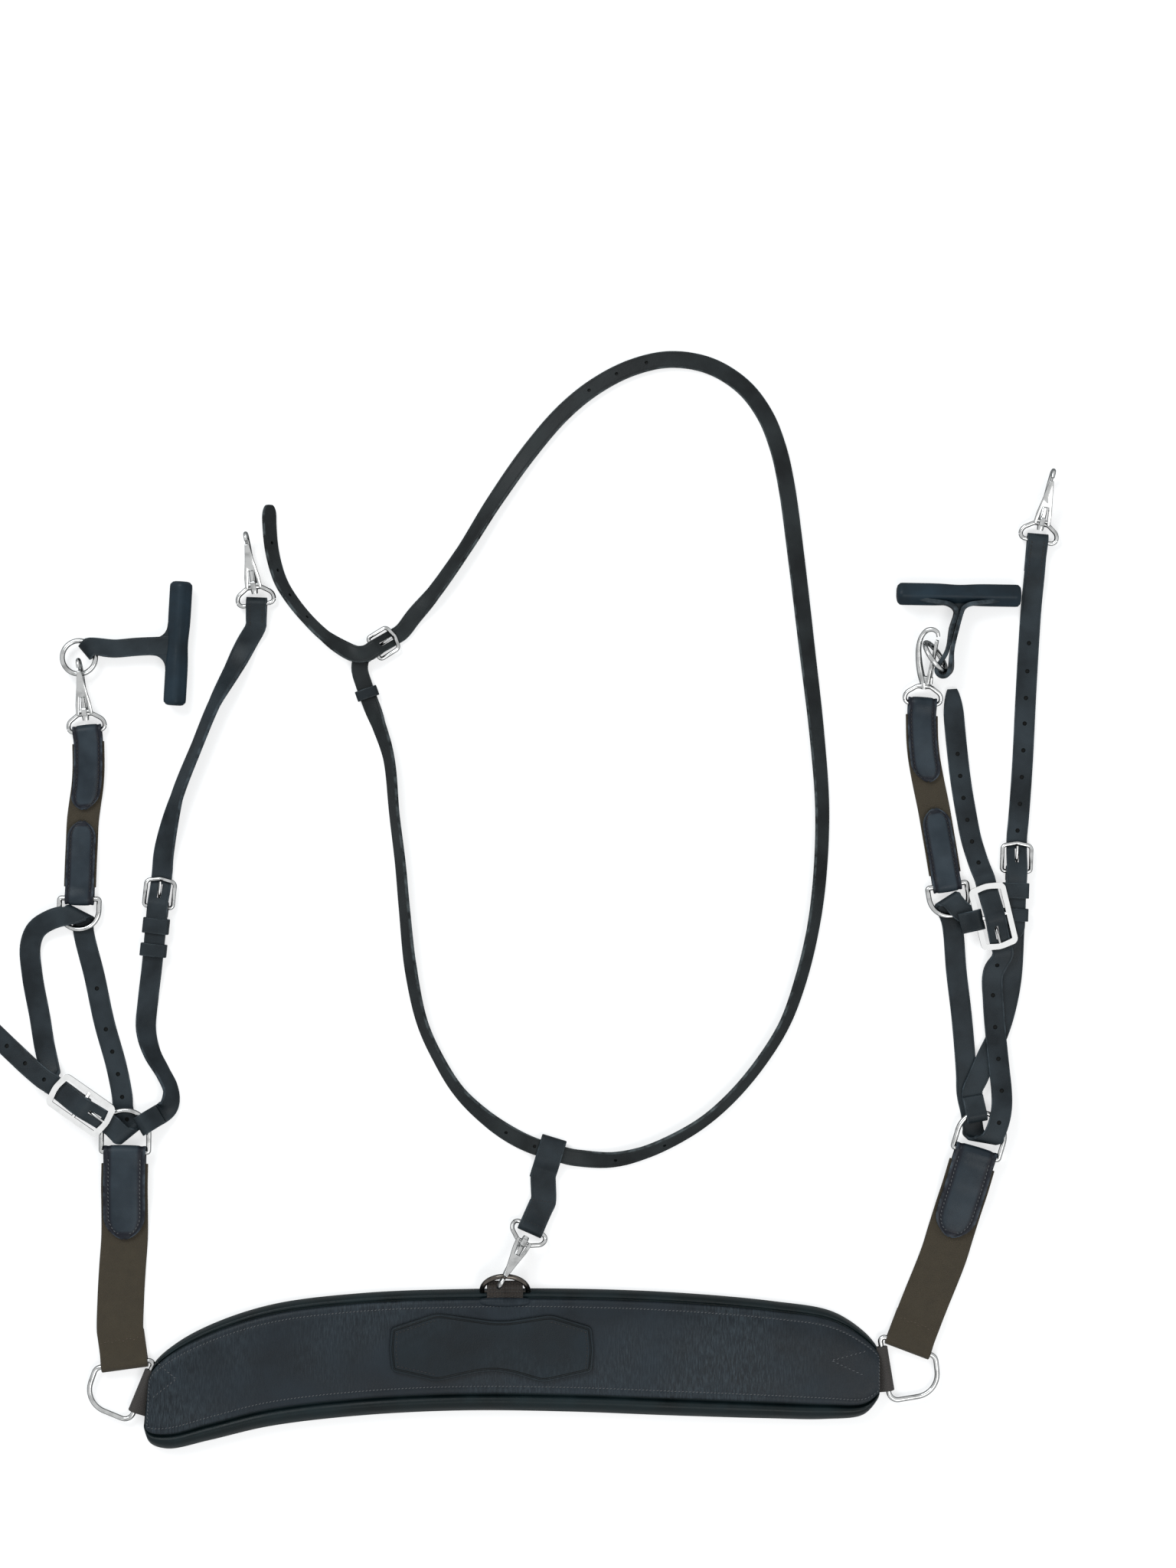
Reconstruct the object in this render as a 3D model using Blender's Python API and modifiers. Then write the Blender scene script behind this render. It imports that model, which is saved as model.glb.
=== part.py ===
"""Training breastplate: a padded chest piece, its neck strap, and on each side an elastic,
an adjustable loop, a toggle branch and a girth branch, laid out flat on a table.

Sizes and places are in millimetres and turned into metres when a mesh or a curve is made.
X runs to the right along the chest pad, Y runs towards the neck, Z up from the table.
The origin is the middle of the pad's back. The straps' routes are points chosen by hand.
"""
import math

import bmesh
import bpy
from mathutils import Matrix, Vector

MM = 0.001
UP = Vector((0, 0, 1))

# Clearance between pieces that touch, and the straps' clearance over the table
FIT = 0.3
FLOOR_GAP = 0.3

# Leather straps
STRAP_WIDTH = 16.0
STRAP_THICK = 2.6
NECK_WIDTH = 13.0
LOOP_TAB_WIDTH = 20.0

# Elastic straps and their leather tabs
WIDE_ELASTIC = 36.5
NARROW_ELASTIC = 25.0
ELASTIC_THICK = 2.2
WIDE_TAB = 32.5
NARROW_TAB = 22.0
WIDE_TAB_LENGTH = 68.0
NARROW_TAB_LENGTH = 60.0
UNDER_TAB_LENGTH = 26.0
TAB_POINT = 15.0

# Rings, buckles and snaps
RING_WIRE = 4.0
BUCKLE_WIRE = 3.2
SNAP_WIRE = 3.4
TONGUE_WIRE = 2.4
LOWER_DEE_BAR = 37.0
LOWER_DEE_DEPTH = 32.5
UPPER_DEE_BAR = 31.0
UPPER_DEE_DEPTH = 24.0
CENTRE_DEE_BAR = 36.0
CENTRE_DEE_DEPTH = 21.0
TOGGLE_RING = 26.0
SNAP_EYE = 26.6
SNAP_LENGTH = 57.0
LOOP_BUCKLE_LENGTH = 44.0
LOOP_BUCKLE_WIDTH = 25.0
GIRTH_BUCKLE_LENGTH = 20.0
GIRTH_BUCKLE_WIDTH = 22.6
NECK_BUCKLE_LENGTH = 17.0
NECK_BUCKLE_WIDTH = 19.6

# How the straps are sewn and threaded: laps, play round a ring, keepers' places
SIDE_LAP = 14.0
EYE_LAP = 14.5
EYE_SAG = 2.3
THREAD_SHIFT = 0.7
FIXED_KEEPER_BACK = 20.5
SLIDING_KEEPER_BACK = 34.0

# Snap hooks: the eye takes the strap, the hook curls up to meet the sprung lever
SNAP_NECK = 14.0
SNAP_PIN = (16.0, 0.0, 3.6)
SNAP_SEAT_BACK = 12.0
SNAP_SEAT_DROP = -1.8
PIN_WIDTH = 2.4
POST_WIDTH = 4.2
LEVER_THICK = 2.6
LEVER_RISE = 6.3
KEEPER_THICK = 2.0
SWIVEL_ROOM = 3.2

# Toggle bars
TOGGLE_LENGTH = 96.0
TOGGLE_THICK = 17.5
STEM_THICK = 3.4
STEM_PLAY = 1.1

# Chest pad
PAD_THICK = 15.0
PAD_END_THICK = 12.0
PANEL_THICK = 2.4
PATCH_THICK = 1.8
CHAPE_THICK = 2.4
CHAPE_WIDTH = 35.0
CENTRE_CHAPE_WIDTH = 30.0
CHAPE_TAIL = 15.0
NOTCH_FLOOR = 1.2

# Heights that follow from the sizes above
HALF = STRAP_THICK / 2
LOW = FLOOR_GAP + HALF
LAYER = STRAP_THICK + FIT
RING_TURN = RING_WIRE / 2 + FIT + HALF
RING_LEVEL = LOW + RING_TURN
HIGH_RING_LEVEL = RING_LEVEL + LAYER + 1.2
END_DEE_LEVEL = 6.2
CENTRE_DEE_LEVEL = 9.0
ELASTIC_LOW = FLOOR_GAP + ELASTIC_THICK / 2
EYE_TURN = SNAP_WIRE / 2 + FIT + HALF
EYE_LEVEL = LOW + EYE_TURN
BUCKLE_TURN = BUCKLE_WIRE / 2 + FIT + HALF
BUCKLE_LEVEL = LOW + BUCKLE_TURN + 0.1

# How finely bends are drawn: degrees for each step
MAX_BEND = 30.0
ARC_STEP = 30.0
RING_STEP = 18
WELD = 1e-6
POINT_SHARES = (0.0, 0.12, 0.4, 1.0)
BLUNT_TIP = 0.25

LEATHER = ((0.012, 0.014, 0.017), 0.42, 0.0)
PAD_LEATHER = ((0.016, 0.014, 0.014), 0.38, 0.0)
WEBBING = ((0.030, 0.030, 0.028), 0.80, 0.0)
ELASTIC = ((0.045, 0.036, 0.022), 0.85, 0.0)
STEEL = ((0.72, 0.74, 0.75), 0.16, 1.0)
DARK_STEEL = ((0.16, 0.15, 0.14), 0.22, 1.0)

PARTS = None
CUTTERS = None


def start_scene():
    """Empty the scene and make the two collections."""
    global PARTS, CUTTERS
    for item in list(bpy.data.objects):
        bpy.data.objects.remove(item, do_unlink=True)
    PARTS = bpy.data.collections.new("training_breastplate")
    CUTTERS = bpy.data.collections.new("cutters")
    bpy.context.scene.collection.children.link(PARTS)
    bpy.context.scene.collection.children.link(CUTTERS)


def finish(item, look):
    """Give a piece its own material."""
    colour, roughness, metallic = look
    material = bpy.data.materials.new(item.name + "_finish")
    material.use_nodes = True
    shader = material.node_tree.nodes["Principled BSDF"]
    shader.inputs["Base Color"].default_value = (*colour, 1.0)
    shader.inputs["Roughness"].default_value = roughness
    shader.inputs["Metallic"].default_value = metallic
    item.data.materials.clear()
    item.data.materials.append(material)
    return item


def mesh_object(name, build, look):
    """A piece whose mesh is filled in by a build function working in millimetres."""
    mesh = bpy.data.meshes.new(name)
    shape = bmesh.new()
    build(shape)
    bmesh.ops.scale(shape, vec=(MM, MM, MM), verts=shape.verts)
    shape.to_mesh(mesh)
    shape.free()
    item = bpy.data.objects.new(name, mesh)
    PARTS.objects.link(item)
    return finish(item, look)


def hide_as_cutter(item):
    """Keep a helper shape out of the part."""
    PARTS.objects.unlink(item)
    CUTTERS.objects.link(item)
    item.hide_render = True
    item.display_type = "WIRE"


def combine(item, other, operation):
    """Cut or join a piece with a helper shape."""
    hide_as_cutter(other)
    step = item.modifiers.new(operation.lower(), "BOOLEAN")
    step.operation = operation
    step.object = other
    step.solver = "MANIFOLD"
    return item


def box(name, frame, low, high, look=STEEL):
    """A block between two corners of a local frame."""
    def build(shape):
        middle = (Vector(low) + Vector(high)) / 2
        size = Vector(high) - Vector(low)
        bmesh.ops.create_cube(shape, size=1.0)
        bmesh.ops.scale(shape, vec=size, verts=shape.verts)
        bmesh.ops.translate(shape, vec=middle, verts=shape.verts)
        bmesh.ops.transform(shape, matrix=frame, verts=shape.verts)
    return mesh_object(name, build, look)


def peg(name, frame, centre, diameter, length, axis="Y", sides=10, look=STEEL):
    """A round peg along one axis of a local frame."""
    def build(shape):
        bmesh.ops.create_cone(shape, cap_ends=True, segments=sides, radius1=diameter / 2,
                              radius2=diameter / 2, depth=length)
        if axis == "Y":
            bmesh.ops.rotate(shape, matrix=Matrix.Rotation(math.pi / 2, 3, "X"), verts=shape.verts)
        if axis == "X":
            bmesh.ops.rotate(shape, matrix=Matrix.Rotation(math.pi / 2, 3, "Y"), verts=shape.verts)
        bmesh.ops.translate(shape, vec=centre, verts=shape.verts)
        bmesh.ops.transform(shape, matrix=frame, verts=shape.verts)
    return mesh_object(name, build, look)


def frame_at(place, heading, pitch=0.0):
    """A local frame: X along the heading in degrees, Z its upper face, at a place."""
    return (Matrix.Translation(place)
            @ Matrix.Rotation(math.radians(heading), 4, "Z")
            @ Matrix.Rotation(math.radians(-pitch), 4, "Y"))


def heading_of(start, end):
    """The heading from one place to another, in degrees."""
    return math.degrees(math.atan2(end[1] - start[1], end[0] - start[0]))


def local(frame, x, y, z, sided=True):
    """A knot of a route given in a local frame, with the frame's Y as the strap's width."""
    side = (frame.to_3x3() @ Vector((0, 1, 0))) if sided else None
    return (frame @ Vector((x, y, z)), side)


def free(x, y, z, roll=0.0):
    """A knot of a route lying flat, or rolled about its own line."""
    return (Vector((x, y, z)), roll)


def sewn_end(frame, wire, thick, lap, sag=0.0, lap_above=True, floor=None):
    """Knots of a strap end that goes round a wire and is sewn back on itself.

    The frame stands on the wire: X into the strap, Y along the wire, Z up. The knots run
    from the end of the lap, round the wire, to where the strap itself goes on. A floor is
    the height in the frame that the lower of the two layers sinks to beyond the wire.
    """
    turn = wire / 2 + FIT + sag / 2 + thick / 2
    low = -turn if floor is None else floor
    second = low + thick + FIT
    near, far = 1.3 * turn, 2.6 * turn
    lean = math.sqrt(0.5) * turn
    upper = [(0, turn), (near, (turn + second) / 2), (far, second)]
    round_wire = [(-lean, lean), (-turn, 0), (-lean, -lean)]
    lower = [(0, -turn), (near, -turn if floor is None else (low - turn) / 2)]
    if floor is not None:
        lower.append((far, low))
    if lap_above:
        rows = [(lap, second)] + upper[::-1] + round_wire + lower
    else:
        rows = [(lap, low)] + lower[::-1] + round_wire[::-1] + upper
        if lap > far + 2 * thick:
            rows.append((lap - thick, second))
        rows.append((max(lap, far) + thick, second))
    return [local(frame, x, 0, z) for x, z in rows]


def slanted_turn(place, heading_in, heading_out, low, high):
    """Knots of a strap that folds over a slanted line, from its lower to its upper level.

    Across the fold the strap's sections lie along the line it folds on.
    """
    radius = (high - low) / 2
    enter = Vector((math.cos(math.radians(heading_in)), math.sin(math.radians(heading_in)), 0))
    leave = Vector((math.cos(math.radians(heading_out)), math.sin(math.radians(heading_out)), 0))
    line = (enter + leave).normalized()
    ahead = (enter - line * enter.dot(line)).normalized()
    slip = enter.dot(line) / enter.dot(ahead)
    knots = []
    for step in range(-2, 3):
        angle = step * math.pi / 4
        normal = ahead * math.cos(angle) + UP * math.sin(angle)
        spot = Vector((place[0], place[1], low + radius)) + normal * radius
        spot += line * (radius * angle * slip)
        knots.append((spot, line))
    return knots


def curve_point(spots, index, share):
    """A place on the centripetal Catmull-Rom curve through the spots."""
    first = spots[index - 1] if index > 0 else spots[0] * 2 - spots[1]
    last = spots[index + 2] if index + 2 < len(spots) else spots[-1] * 2 - spots[-2]
    four = (first, spots[index], spots[index + 1], last)
    times = [0.0]
    for one, two in zip(four, four[1:]):
        times.append(times[-1] + max((two - one).length, 1e-6) ** 0.5)
    now = times[1] + (times[2] - times[1]) * share

    def blend(one, two, start, end):
        return one * ((end - now) / (end - start)) + two * ((now - start) / (end - start))

    row = [blend(four[i], four[i + 1], times[i], times[i + 1]) for i in range(3)]
    row = [blend(row[i], row[i + 1], times[i], times[i + 2]) for i in range(2)]
    return blend(row[0], row[1], times[1], times[2])


def knot_sides(knots):
    """The direction across the strap at each knot."""
    spots = [spot for spot, _ in knots]
    sides = []
    for index, (_, given) in enumerate(knots):
        before = spots[max(index - 1, 0)]
        after = spots[min(index + 1, len(spots) - 1)]
        along = (after - before).normalized()
        if isinstance(given, Vector):
            side = given.normalized()
        else:
            side = UP.cross(along).normalized()
            if sides and side.dot(sides[-1]) < 0:
                side = -side
            over = (UP - along * UP.dot(along)).normalized()
            roll = math.radians(given or 0.0)
            side = side * math.cos(roll) + over * math.sin(roll)
        if sides and side.dot(sides[-1]) < 0:
            side = -side
        sides.append(side)
    return sides


def stations(knots, step):
    """Places along the smooth route, each with its direction across the strap."""
    spots = [spot for spot, _ in knots]
    sides = knot_sides(knots)
    rows = []
    for index in range(len(spots) - 1):
        length = (spots[index + 1] - spots[index]).length
        before = spots[index + 1] - spots[max(index - 1, 0)]
        after = spots[min(index + 2, len(spots) - 1)] - spots[index]
        bend = math.degrees(before.angle(after, 0.0))
        count = max(1, math.ceil(length / step), math.ceil(bend / MAX_BEND))
        for part in range(count):
            share = part / count
            rows.append((curve_point(spots, index, share), sides[index].lerp(sides[index + 1], share)))
    rows.append((spots[-1], sides[-1]))
    return rows


def with_point(rows, length):
    """Add the extra stations that a rounded point needs at the start of a strap."""
    run = [0.0]
    for one, two in zip(rows, rows[1:]):
        run.append(run[-1] + (two[0] - one[0]).length)
    fresh = []
    for share in POINT_SHARES:
        want = share * length
        index = max(i for i in range(len(run)) if run[i] <= want)
        index = min(index, len(rows) - 2)
        part = (want - run[index]) / (run[index + 1] - run[index])
        one, two = rows[index], rows[index + 1]
        fresh.append((one[0].lerp(two[0], part), one[1].lerp(two[1], part)))
    return fresh + [row for row, reach in zip(rows, run) if reach > length * 1.05]


def off_table(spot, side, width, thick):
    """Keep a strap's section clear of the table."""
    tilt = abs(side.normalized().z)
    least = FLOOR_GAP + width / 2 * tilt + thick / 2 * math.sqrt(1 - tilt * tilt)
    return Vector((spot.x, spot.y, max(spot.z, least)))


def ribbon(name, knots, width, thick, look, start_point=0.0, end_point=0.0, step=18.0):
    """A flat strap of even thickness that follows a route, with rounded or pointed ends."""
    rows = [(off_table(spot, side, width, thick), side) for spot, side in stations(knots, step)]
    if start_point:
        rows = with_point(rows, start_point)
    if end_point:
        rows = list(reversed(with_point(list(reversed(rows)), end_point)))
    run = [0.0]
    for one, two in zip(rows, rows[1:]):
        run.append(run[-1] + (two[0] - one[0]).length)

    def half_width(reach):
        scale = 1.0
        for length, distance in ((start_point, reach), (end_point, run[-1] - reach)):
            if length and distance < length:
                rest = 1.0 - distance / length
                scale = min(scale, BLUNT_TIP + (1.0 - BLUNT_TIP) * math.sqrt(1.0 - rest * rest))
        return scale * width / 2

    def build(shape):
        count = len(rows)
        bmesh.ops.create_grid(shape, x_segments=count - 1, y_segments=1, size=1.0)
        for corner in shape.verts:
            index = round((corner.co.x + 1) / 2 * (count - 1))
            hand = 1 if corner.co.y > 0 else -1
            spot = rows[index][0]
            before = rows[max(index - 1, 0)][0]
            after = rows[min(index + 1, count - 1)][0]
            along = (after - before).normalized()
            side = rows[index][1].normalized()
            slant = max(side.cross(along).length, 0.5)
            corner.co = spot + side * (hand * half_width(run[index]) / slant)

    item = mesh_object(name, build, look)
    solid = item.modifiers.new("thickness", "SOLIDIFY")
    solid.thickness = thick * MM
    solid.offset = 0.0
    return item


def rounded_outline(corners):
    """A closed outline from corners given as x, y and the radius that rounds them."""
    points = []
    for index, (x, y, radius) in enumerate(corners):
        here = Vector((x, y))
        before = Vector(corners[index - 1][:2]) - here
        after = Vector(corners[(index + 1) % len(corners)][:2]) - here
        angle = before.angle(after)
        back = radius / math.tan(angle / 2)
        start = here + before.normalized() * back
        centre = here + (before.normalized() + after.normalized()).normalized() * (
            radius / math.sin(angle / 2))
        sweep = math.pi - angle
        count = max(2, math.ceil(math.degrees(sweep) / ARC_STEP))
        spoke = start - centre
        turning = -1 if before.cross(after) > 0 else 1
        for part in range(count + 1):
            turn = turning * sweep * part / count
            points.append((centre.x + spoke.x * math.cos(turn) - spoke.y * math.sin(turn),
                           centre.y + spoke.x * math.sin(turn) + spoke.y * math.cos(turn)))
    return points


def bent_wire(name, frame, points, radii, look, closed, sides=2):
    """A round wire along points of a local frame, with a radius at each point."""
    curve = bpy.data.curves.new(name, "CURVE")
    curve.dimensions = "3D"
    curve.resolution_u = 1
    curve.bevel_depth = MM
    curve.bevel_resolution = sides
    curve.use_fill_caps = not closed
    spline = curve.splines.new("POLY")
    spline.points.add(len(points) - 1)
    for point, place, radius in zip(spline.points, points, radii):
        spot = (frame @ Vector(place)) * MM
        point.co = (*spot, 1.0)
        point.radius = radius
    spline.use_cyclic_u = closed
    item = bpy.data.objects.new(name, curve)
    PARTS.objects.link(item)
    return finish(item, look)


def wire_loop(name, frame, outline, wire, look, sides=2):
    """A closed wire loop in the plane of a local frame."""
    points = [(x, y, 0.0) for x, y in outline]
    return bent_wire(name, frame, points, [wire / 2] * len(points), look, True, sides)


def as_mesh(item):
    """The same piece as a welded mesh, ready to be cut or joined."""
    seen = item.evaluated_get(bpy.context.evaluated_depsgraph_get())
    mesh = bpy.data.meshes.new_from_object(seen)
    shape = bmesh.new()
    shape.from_mesh(mesh)
    bmesh.ops.remove_doubles(shape, verts=shape.verts, dist=WELD)
    bmesh.ops.recalc_face_normals(shape, faces=shape.faces)
    shape.to_mesh(mesh)
    shape.free()
    name = item.name
    place = item.matrix_world.copy()
    bpy.data.objects.remove(item, do_unlink=True)
    solid = bpy.data.objects.new(name, mesh)
    solid.matrix_world = place
    PARTS.objects.link(solid)
    return solid


def plate(name, frame, outline, thick, look):
    """A flat plate of an outline, centred on the plane of a local frame."""
    curve = bpy.data.curves.new(name, "CURVE")
    curve.dimensions = "2D"
    curve.fill_mode = "BOTH"
    curve.extrude = thick / 2 * MM
    spline = curve.splines.new("POLY")
    spline.points.add(len(outline) - 1)
    for point, (x, y) in zip(spline.points, outline):
        point.co = (x * MM, y * MM, 0.0, 1.0)
    spline.use_cyclic_u = True
    item = bpy.data.objects.new(name, curve)
    PARTS.objects.link(item)
    placed = frame.copy()
    placed.translation *= MM
    item.matrix_world = placed
    bpy.context.view_layer.update()
    return as_mesh(finish(item, look))


def dee_outline(bar, depth, corner=1.6):
    """A D-ring: the bar on the Y axis, the bow reaching out along X."""
    half = bar / 2
    centre = depth - half
    points = []
    for turn in range(0, 181, RING_STEP):
        angle = math.radians(90 - turn)
        points.append((centre + half * math.cos(angle), half * math.sin(angle)))
    for hand in (-1, 1):
        arc = [(corner * (1 - math.sin(math.radians(turn))),
                hand * (half - corner * (1 - math.cos(math.radians(turn)))))
               for turn in (0, 45, 90)]
        points += arc if hand < 0 else list(reversed(arc))
    return points


def ring_outline(diameter, steps=20):
    """A round ring about the frame's middle."""
    return [(diameter / 2 * math.cos(2 * math.pi * i / steps),
             diameter / 2 * math.sin(2 * math.pi * i / steps)) for i in range(steps)]


def snap_seat(frame):
    """Where a ring's wire lies inside the hook."""
    return frame @ Vector((SNAP_LENGTH - SNAP_SEAT_BACK, 0, SNAP_SEAT_DROP))


def snap_frame(name, flat_eye, frame):
    """The cast body of a snap: strap eye, post for the lever's pin, and the hook."""
    half = SNAP_EYE / 2
    eye = wire_loop(name, flat_eye, rounded_outline(
        [(0, -half, 2), (0, half, 2), (SNAP_NECK - 6, half, 4.5), (SNAP_NECK, 4.5, 2.5),
         (SNAP_NECK, -4.5, 2.5), (SNAP_NECK - 6, -half, 4.5)]), SNAP_WIRE, STEEL, sides=1)
    end = SNAP_LENGTH
    path = [(SNAP_NECK - 5.5, 0, 0), (SNAP_NECK - 1.5, 0, -0.3), (20, 0, -3.2), (31, 0, -5.8),
            (end - 15, 0, -6.8), (end - 7, 0, -5.2), (end - 2, 0, -1.5), (end - 0.8, 0, 3.0),
            (end - 2.5, 0, 6.6), (end - 6, 0, 7.9)]
    radii = [2.4, 2.9, 2.8, 2.5, 2.1, 1.9, 1.9, 1.8, 1.7, 1.4]
    hook = as_mesh(bent_wire(name + "_hook", frame, path, radii, STEEL, False))
    pin_x, _, pin_z = SNAP_PIN
    post = box(name + "_post", frame, (SNAP_NECK - 1.4, -POST_WIDTH / 2, -1.5),
               (pin_x + 2.8, POST_WIDTH / 2, pin_z + PIN_WIDTH / 2 + 1.6))
    body = as_mesh(eye)
    combine(body, hook, "UNION")
    combine(body, post, "UNION")
    hole = peg(name + "_pin_hole", frame, SNAP_PIN, PIN_WIDTH + 2 * FIT, POST_WIDTH + 4)
    combine(body, hole, "DIFFERENCE")
    return body


def snap_lever(name, frame):
    """The sprung lever: two legs either side of the post, tapering to the hook's tip."""
    placed = frame @ frame_at(SNAP_PIN, 0, LEVER_RISE)
    inner = POST_WIDTH / 2 + FIT + 0.1
    reach = SNAP_LENGTH - SNAP_PIN[0] - 8.4
    outline = [(-2.5, 6.2), (-2.5, inner), (12, 1.4), (12, -1.4), (-2.5, -inner), (-2.5, -6.2),
               (6, -5.6), (22, -3.0), (reach, -1.8), (reach, 1.8), (22, 3.0), (6, 5.6)]
    lever = plate(name, placed, outline, LEVER_THICK, STEEL)
    pin = peg(name + "_pin", placed, (0, 0, 0), PIN_WIDTH, 12.0)
    return combine(lever, pin, "UNION")


def tongue_eye(wire):
    """The middle radius of a tongue's eye round its bar."""
    return wire / 2 + FIT + TONGUE_WIRE / 2


def tongue(name, frame, reach):
    """A buckle's tongue: an open eye round the bar and a pin that rests on the far bar."""
    eye = tongue_eye(BUCKLE_WIRE)
    rise = eye + 0.1
    turns = [math.radians(70 + 36.25 * step) for step in range(9)]
    path = [(eye * math.cos(turn), 0, eye * math.sin(turn)) for turn in turns]
    path += [(reach * 0.55, 0, rise * 0.4), (reach, 0, rise)]
    radii = [TONGUE_WIRE / 2] * (len(path) - 1) + [TONGUE_WIRE / 2 * 0.8]
    return as_mesh(bent_wire(name, frame, path, radii, STEEL, False, sides=1))


def over_bar():
    """How far over a buckle's bar the threaded strap runs, above the strap that holds it."""
    return BUCKLE_WIRE / 2 + FIT + STRAP_THICK + FIT + HALF


def under_bar():
    """How far under a buckle's outer bar the threaded strap runs."""
    return BUCKLE_WIRE / 2 + FIT + HALF


def buckle_frame(name, frame, front, back, width, look=STEEL):
    """A buckle: a rounded frame whose bar on the Y axis holds the strap's end."""
    half = width / 2
    bulge = 2.2
    outline = [(front, -half, 3.5), (front + bulge, 0, 9), (front, half, 3.5)]
    if back:
        outline += [(-back, half, 3.5), (-back - bulge, 0, 9), (-back, -half, 3.5)]
    else:
        outline += [(0, half, 2.5), (0, -half, 2.5)]
    body = wire_loop(name, frame, rounded_outline(outline), BUCKLE_WIRE, look, sides=1)
    if not back:
        return body
    body = as_mesh(body)
    bar = peg(name + "_bar", frame, (0, 0, 0), BUCKLE_WIRE, width, sides=8)
    return combine(body, bar, "UNION")


def threaded(frame, front, back, shift=0.0):
    """Knots of the strap that runs through a buckle, from its front bar to past the other."""
    under = -under_bar()
    over = over_bar()
    rows = [(front + 8, under), (front, under), (front * 0.55, (under + over) / 2 - 0.6),
            (front * 0.18, over - 0.4), (0, over)]
    if back:
        rows += [(-back * 0.18, over - 0.4), (-back * 0.55, (under + over) / 2 - 0.6),
                 (-back, under), (-back - 8, under)]
    else:
        rows += [(-6, over - 0.3)]
    return [local(frame, x, shift, z) for x, z in rows]


def cut_tongue_slots(strap, frame, reach):
    """Open the threaded strap where the tongue comes through it."""
    half = TONGUE_WIRE / 2 + FIT
    slot = box(strap.name + "_tongue_hole", frame, (reach * 0.36, -half, -6),
               (reach * 0.36 + 10.5, half, 9))
    combine(strap, slot, "DIFFERENCE")


def cut_chape_slot(strap, frame):
    """Open the fold round the bar where the tongue's eye sits."""
    half = TONGUE_WIRE / 2 + FIT
    eye = tongue_eye(BUCKLE_WIRE) + TONGUE_WIRE / 2 + FIT
    slot = box(strap.name + "_eye_slot", frame, (-eye - 3, -half, -eye - 1),
               (eye + 3, half, eye + 0.15))
    combine(strap, slot, "DIFFERENCE")


def keeper(name, frame, height, length=9.0, width=STRAP_WIDTH):
    """A leather loop round a buckled strap, open right through."""
    thick = KEEPER_THICK
    half = width / 2 + FIT
    turned = frame @ Matrix.Rotation(math.pi / 2, 4, "Z") @ Matrix.Rotation(math.pi / 2, 4, "X")
    inner = [(-half, -FIT), (half, -FIT), (half, height + FIT), (-half, height + FIT)]
    outer = rounded_outline([(-half - thick, -FIT - thick, 1.5), (half + thick, -FIT - thick, 1.5),
                             (half + thick, height + FIT + thick, 1.5),
                             (-half - thick, height + FIT + thick, 1.5)])
    body = plate(name, turned, outer, length, LEATHER)
    hollow = plate(name + "_hollow", turned, inner, length + 4, LEATHER)
    return combine(body, hollow, "DIFFERENCE")


def tab_run(frame, wire, length, sway):
    """Places of an elastic under its tab: distance from the bar, sway and height."""
    level = -(wire / 2 + FIT + HALF) + HALF + FIT + ELASTIC_THICK / 2
    floor = ELASTIC_LOW - frame.translation.z
    start = UNDER_TAB_LENGTH + 2
    return [(reach, sway * (reach / length) ** 2, height) for reach, height in
            ((9.0, level), (start, level), (start + 14, (level + floor) / 2), (length, floor))]


def tab(name, frame, wire, width, length, sway=0.0):
    """A pointed leather tab: round a bar, over the elastic on top and under it below."""
    turn = wire / 2 + FIT + HALF
    upper = ELASTIC_THICK / 2 + FIT + HALF
    rows = tab_run(frame, wire, length, sway)
    level = rows[0][2] + upper
    lean = math.sqrt(0.5) * turn
    slip = sway * (UNDER_TAB_LENGTH / length) ** 2
    places = [(UNDER_TAB_LENGTH, slip, -turn), (1.3 * turn, 0, -turn), (0, 0, -turn),
              (-lean, 0, -lean), (-turn, 0, 0), (-lean, 0, lean), (0, 0, turn),
              (1.3 * turn, 0, (turn + level) / 2), (2.4 * turn, 0, level)]
    places += [(x, y, z + upper) for x, y, z in rows[1:]]
    knots = [local(frame, x, y, z) for x, y, z in places]
    return ribbon(name, knots, width, STRAP_THICK, LEATHER, end_point=TAB_POINT)


def elastic_end(frame, wire, length, sway=0.0):
    """Knots of an elastic's end between the two layers of its tab, bar end first."""
    return [local(frame, x, y, z) for x, y, z in tab_run(frame, wire, length, sway)]


def behind(frame):
    """The same frame facing the other way, as a strap leaving a ring's bar does."""
    return frame @ Matrix.Rotation(math.pi, 4, "Z")


def flat(x, y, level=LOW):
    """A knot of a strap lying flat at a height."""
    return (Vector((x, y, level)), 0.0)


def resting(x, y, roll, width=STRAP_WIDTH):
    """A knot of a strap that stands partly on its edge on the table."""
    turn = math.radians(abs(roll))
    level = FLOOR_GAP + width / 2 * math.sin(turn) + HALF * math.cos(turn)
    return (Vector((x, y, level)), roll)


def way(spots):
    """Knots of a route: x, y and roll lying on the table, or x, y, height and roll."""
    return [resting(*spot) if len(spot) == 3 else free(*spot) for spot in spots]


# The chest pad

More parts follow.
